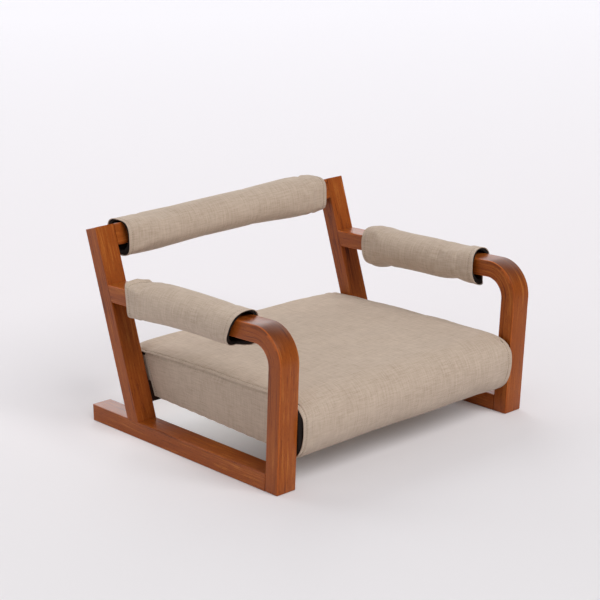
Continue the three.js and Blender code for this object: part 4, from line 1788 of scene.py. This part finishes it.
        hem = self.cover_front_hem + (self.cover_rear_hem - self.cover_front_hem) * share
        outer = []
        side_top = shape.top - self.corner_inset
        for z in (hem, *np.linspace(hem + self.panel_hem, side_top, self.side_points)):
            y = y_at(z, self.side_overlap)
            outer.append((-self._panel_half(y, z, hem), y, z))
        radius = self.cover_radius
        top_z = shape.top - self.cover_depth
        for angle in np.linspace(self.corner_start, math.pi / 2, self.corner_points):
            x = self.cover_half - radius + radius * math.cos(angle)
            outer.append(lifted(-x, top_z - radius + radius * math.sin(angle)))
        edge = self.cover_half - self.corner_inset
        top = [lifted(x, top_z) for x in np.linspace(-edge, edge, self.top_points)]
        right = [(-x, y, z) for x, y, z in reversed(outer)]
        inner_x = self.cover_half - self.draw_in - self.cover_thickness
        rise = np.linspace(hem, board_top, self.inner_points)
        inner = [
            (sign * inner_x, y_at(z, -self.layer_gap), z)
            for sign, heights in ((1, rise), (-1, rise[::-1]))
            for z in heights
        ]
        return np.array(outer + top + right + inner)

    def _panel_half(self, y: float, z: float, hem: float) -> float:
        """Finds how far a side panel stands off the chair's middle at a place.

        Args:
            y: The place along.
            z: Its height.
            hem: The height of the panel's hem.

        Returns:
            The distance from the middle.
        """
        top = self.shape.top
        down = (top - z) / (top - self.cover_front_hem)
        bulge = self.panel_bulge * math.sin(math.pi * min(max((z - hem) / (top - hem), 0), 1))
        pucker = self.panel_pucker * math.sin(2 * math.pi * y / self.pucker_length)
        fade = math.exp(-(z - hem) / self.panel_fade)
        return self.cover_half - self.draw_in * down + bulge + pucker * fade

    def _panel_stitches(self) -> list[bpy.types.Object]:
        """Lays a stitch row beside the rear hem of each side panel.

        Returns:
            The rows.
        """
        hem = self.cover_rear_hem
        low, high = hem + self.stitch_ends[0], self.shape.top - self.stitch_ends[1]
        heights = np.linspace(low, high, self.stitch_points)
        y = self.shape.post_front_at(heights) + self.side_overlap
        y = y - STITCH_DISTANCE - self.stitch_inset
        half = np.array([self._panel_half(*place, hem) for place in zip(y, heights)])
        rows = []
        for side in Side:
            line = np.column_stack([side.value * half, y, heights])
            normals = np.tile([float(side.value), 0.0, 0.0], (len(line), 1))
            rows.append(StitchRow().lay(f"seat_side_stitches_{side.word}", line, normals))
        return rows

    def _foam(self, node: str, name: str) -> bpy.types.Object:
        """Copies a packed padding, remeshed and rounded as foam is.

        In front of the front rail it's pressed out to the side frames, so that it hides the rail.

        Args:
            node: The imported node.
            name: The new piece's name.

        Returns:
            The piece.
        """
        mesh = frame["nodes"][node].data.copy()
        mesh.name = name
        mesh.materials.clear()
        obj = add_object(name, mesh)
        close_and_smooth(obj)
        apply_modifier(obj, "REMESH", mode="VOXEL", voxel_size=self.foam_voxel)
        apply_modifier(obj, "SMOOTH", factor=0.5, iterations=3)
        points = coordinates_of(obj.data)
        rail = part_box("seat_front_rail")
        before_rail = 1 - smooth_steps(rail[0].y + self.press_from, rail[1].y, points[:, 1])
        wide = (self.shape.half_inside - self.frame_gap) / np.abs(points[:, 0]).max()
        points[:, 0] *= 1 + (wide - 1) * before_rail
        move_points(obj.data, points)
        close_and_smooth(obj)
        return obj


# The studio


@dataclass(frozen=True)
class Lamp:
    """A soft box far away: its strength as a share of full white, and where it stands.

    The bearing runs from the chair's front towards the sitter's left. All angles are in degrees.
    """

    name: str
    share: float
    bearing: float
    height: float
    size: float

    def hang(self) -> None:
        """Puts the lamp in the scene."""
        data = bpy.data.lights.new(self.name, "SUN")
        data.energy = self.share * math.pi
        data.angle = math.radians(self.size)
        towards = direction(math.radians(self.bearing), math.radians(self.height))
        add_object(self.name, data).rotation_euler = (-towards).to_track_quat("-Z", "Y").to_euler()


LAMPS = (
    Lamp("front_soft_box", 0.68, 0, 47, 40),
    Lamp("lit_backdrop", 0.55, 175, 22, 75),
    Lamp("left_soft_box", 0.19, 270, 20, 60),
    Lamp("right_backdrop", 0.14, 120, 28, 60),
)


def direction(bearing: float, height: float) -> Vector:
    """The direction from the chair to a bearing from its front and a height."""
    flat = math.cos(height)
    return Vector((math.sin(bearing) * flat, -math.cos(bearing) * flat, math.sin(height)))


@dataclass
class Studio:
    """A pale sweep, soft light from above, and the camera at the photograph's place."""

    lens: float = 104.42
    sensor: float = 36.0
    azimuth: float = math.radians(-41.961)
    elevation: float = math.radians(16.208)
    roll: float = math.radians(-0.917)
    distance: float = 3.1209
    target: tuple[float, float, float] = (-0.0248, -0.008716, 0.22734)
    floor_size: float = 60.0
    floor_drop: float = 0.2 * MM
    # Painted light falloff: the paper's colour from near to far.
    floor_ends: tuple[float, float] = (-0.7, 6.0)
    floor_places: tuple[float, ...] = (0.0, 0.22, 1.0)
    floor_near: str = "#e3e0e2"
    floor_middle: str = "#e9e5e8"
    floor_far: str = "#f4f2f7"
    # Painted light: the paper's glow for the camera, even and in a patch under the seat.
    floor_glow: float = 0.06
    patch_glow: float = 0.33
    patch_centre: tuple[float, float, float] = (-0.155, 0.12, 0.0)
    patch_radius: float = 0.28
    paper_grain: float = 260.0
    # A painted reflection: how dark the paper ahead looks in glossy rays.
    unlit_room: str = "#3a3432"
    unlit_ends: tuple[float, float] = (0.45, 1.3)
    unlit_share: float = 0.85
    room_colour: str = "#f4f2f6"
    room_strength: float = 0.15
    backdrop: str = "#fbf9fd"
    mirrored_ends: tuple[float, float] = (-0.5, 0.3)
    mirrored_light: tuple[float, float] = (0.12, 1.0)

    def build(self) -> None:
        """Makes the camera, the floor and the light."""
        self._camera()
        self._floor()
        for lamp in LAMPS:
            lamp.hang()
        self._room()
        bpy.context.scene.view_settings.view_transform = "Standard"

    def _camera(self) -> None:
        """Sets the camera by the angles that were fitted to the photograph."""
        back = direction(self.azimuth, self.elevation)
        right = (-back).cross(Vector((0, 0, 1))).normalized()
        up = right.cross(-back)
        cosine, sine = math.cos(self.roll), math.sin(self.roll)
        right, up = right * cosine + up * sine, up * cosine - right * sine
        data = bpy.data.cameras.new("photo_camera")
        data.lens = self.lens
        data.sensor_width = self.sensor
        data.clip_start, data.clip_end = 0.05, self.floor_size
        place = Vector(self.target) + back * self.distance
        axes = Matrix((right, up, back)).transposed().to_4x4()
        camera = add_object("photo_camera", data)
        camera.matrix_world = Matrix.Translation(place) @ axes
        bpy.context.scene.camera = camera

    def _floor(self) -> None:
        """Makes the paper sweep that the chair stands on, coloured paler further away as painted
        light falloff.

        Gloss sees the paper ahead darkened, a painted reflection of the dim room in front of the
        lit paper, as in a studio. For the camera the paper glows a little everywhere and more in a
        patch
        under the seat: painted light, which keeps the shadow on it pale.
        """
        deselect()
        bpy.ops.mesh.primitive_plane_add(size=self.floor_size, location=(0, 0, -self.floor_drop))
        floor = bpy.context.object
        floor.name = "studio_floor"
        bpy.ops.object.transform_apply(location=True, rotation=True, scale=True)
        paint = Paint("matt_background_paper")
        place = paint.own_space()
        sine, cosine = math.sin(-self.azimuth), math.cos(self.azimuth)
        away = paint.vector("DOT_PRODUCT", place, (sine, cosine, 0), output="Value")
        ahead = paint.vector("DOT_PRODUCT", place, (sine, -cosine, 0), output="Value")
        # Darker near and paler far: painted light falloff on the paper.
        tones = (self.floor_near, self.floor_middle, self.floor_far)
        paper = paint.ramp(paint.remap(away, self.floor_ends), self.floor_places, *tones)
        ray = paint.add("LightPath", {}).outputs
        # In glossy rays the paper ahead is darkened: a painted reflection of a dim room in front.
        unlit = paint.remap(ahead, self.unlit_ends, (0, self.unlit_share))
        unlit = paint.math("MULTIPLY", unlit, ray["Is Glossy Ray"])
        # Painted light: the paper glows for the camera, most in a patch under the seat, which lifts
        # the shadow there.
        from_patch = paint.vector("DISTANCE", place, self.patch_centre, output="Value")
        glow = paint.remap(
            from_patch,
            (0, self.patch_radius),
            (self.floor_glow + self.patch_glow, self.floor_glow),
            interpolation_type="SMOOTHSTEP",
        )
        colour = paint.mix(unlit, paper, linear(self.unlit_room))
        paper_grain = paint.noise(place, self.paper_grain, detail=3.0)
        material = paint.finish(
            colour,
            paint.bump(paper_grain, strength=0.05, depth=0.2 * MM),
            Emission_Color=(1.0, 1.0, 1.0, 1.0),
            Emission_Strength=paint.math("MULTIPLY", glow, ray["Is Camera Ray"]),
            Roughness=0.9,
            Specular_IOR_Level=0.15,
        )
        floor.data.materials.append(material)

    def _room(self) -> None:
        """Makes the room's own light, which the camera sees white and gloss sees dim ahead."""
        world = bpy.data.worlds.new("studio_room")
        bpy.context.scene.world = world
        world.use_nodes = True
        shading = Shading(world.node_tree)
        path = shading.add("LightPath", {}).outputs
        seen = shading.math("MAXIMUM", path["Is Camera Ray"], path["Is Transmission Ray"])
        room = world.node_tree.nodes["Background"]
        shading.feed(room, {"Color": linear(self.room_colour), "Strength": self.room_strength})
        towards = shading.add("TexCoord", {}).outputs["Generated"]
        depth = shading.add("SeparateXYZ", {"Vector": towards}).outputs["Y"]
        lit = shading.remap(depth, self.mirrored_ends, self.mirrored_light)
        white = linear(self.backdrop)
        mirrored, backdrop = (
            shading.add("Background", {"Color": white, "Strength": strength}).outputs[0]
            for strength in (lit, 1.0)
        )
        mixed = room.outputs[0]
        for share, other in ((path["Is Glossy Ray"], mirrored), (seen, backdrop)):
            mixed = shading.add("MixShader", {0: share, 1: mixed, 2: other}).outputs[0]
        shading.feed(world.node_tree.nodes["World Output"], {"Surface": mixed})


# The chair


class FloorArmchair:
    """The whole chair: its side frames, cross members, sleeves and seat."""

    def __init__(self) -> None:
        """Sets the sub-assemblies with their sizes."""
        self.sides = [SideFrame(side) for side in Side]
        self.cross = CrossMembers()
        self.seat = Seat(SeatShape())
        self.sleeves = [
            Sleeve(
                "back",
                BACK_SLEEVE,
                SleeveEnd(square=1.2),
                SleeveEnd(square=1.6),
                seed=11,
                hole=27.35 * MM,
            ),
            Sleeve(
                "left_arm",
                LEFT_ARM_SLEEVE,
                SleeveEnd(slant=-15, side=-5, corner=-24, corner_drop=3, square=0.3),
                SleeveEnd(slant=2, side=-3, top_drop=5.5, square=5.5),
                seed=23,
                hole=27.05 * MM,
            ),
            Sleeve(
                "right_arm",
                RIGHT_ARM_SLEEVE,
                SleeveEnd(slant=-3, side=-13, bottom=-14, corner=14, corner_drop=-4, square=0.6),
                SleeveEnd(slant=2, square=0.4),
                seed=37,
                hole=27.05 * MM,
            ),
        ]

    def build(self, finishes: Finishes) -> None:
        """Builds and dresses every sub-assembly.

        Args:
            finishes: The chair's finishes.
        """
        for side in self.sides:
            side.dress(side.build(), finishes)
            LOG.info("side frame %s done", side.side.word)
        self.cross.dress(finishes)
        LOG.info("cross members done")
        for sleeve in self.sleeves:
            sleeve.dress(sleeve.build(), finishes)
            LOG.info("sleeve %s done", sleeve.word)
        self.seat.dress(self.seat.build(), finishes)
        LOG.info("seat done")


def write_sizes() -> None:
    bpy.context.view_layer.update()


def main() -> None:
    """Builds the studio and the chair in order."""
    logging.basicConfig(level=logging.INFO, format="%(name)s: %(message)s")
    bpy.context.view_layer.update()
    Studio().build()
    FloorArmchair().build(Finishes())
    write_sizes()


if __name__ == "__main__":
    main()
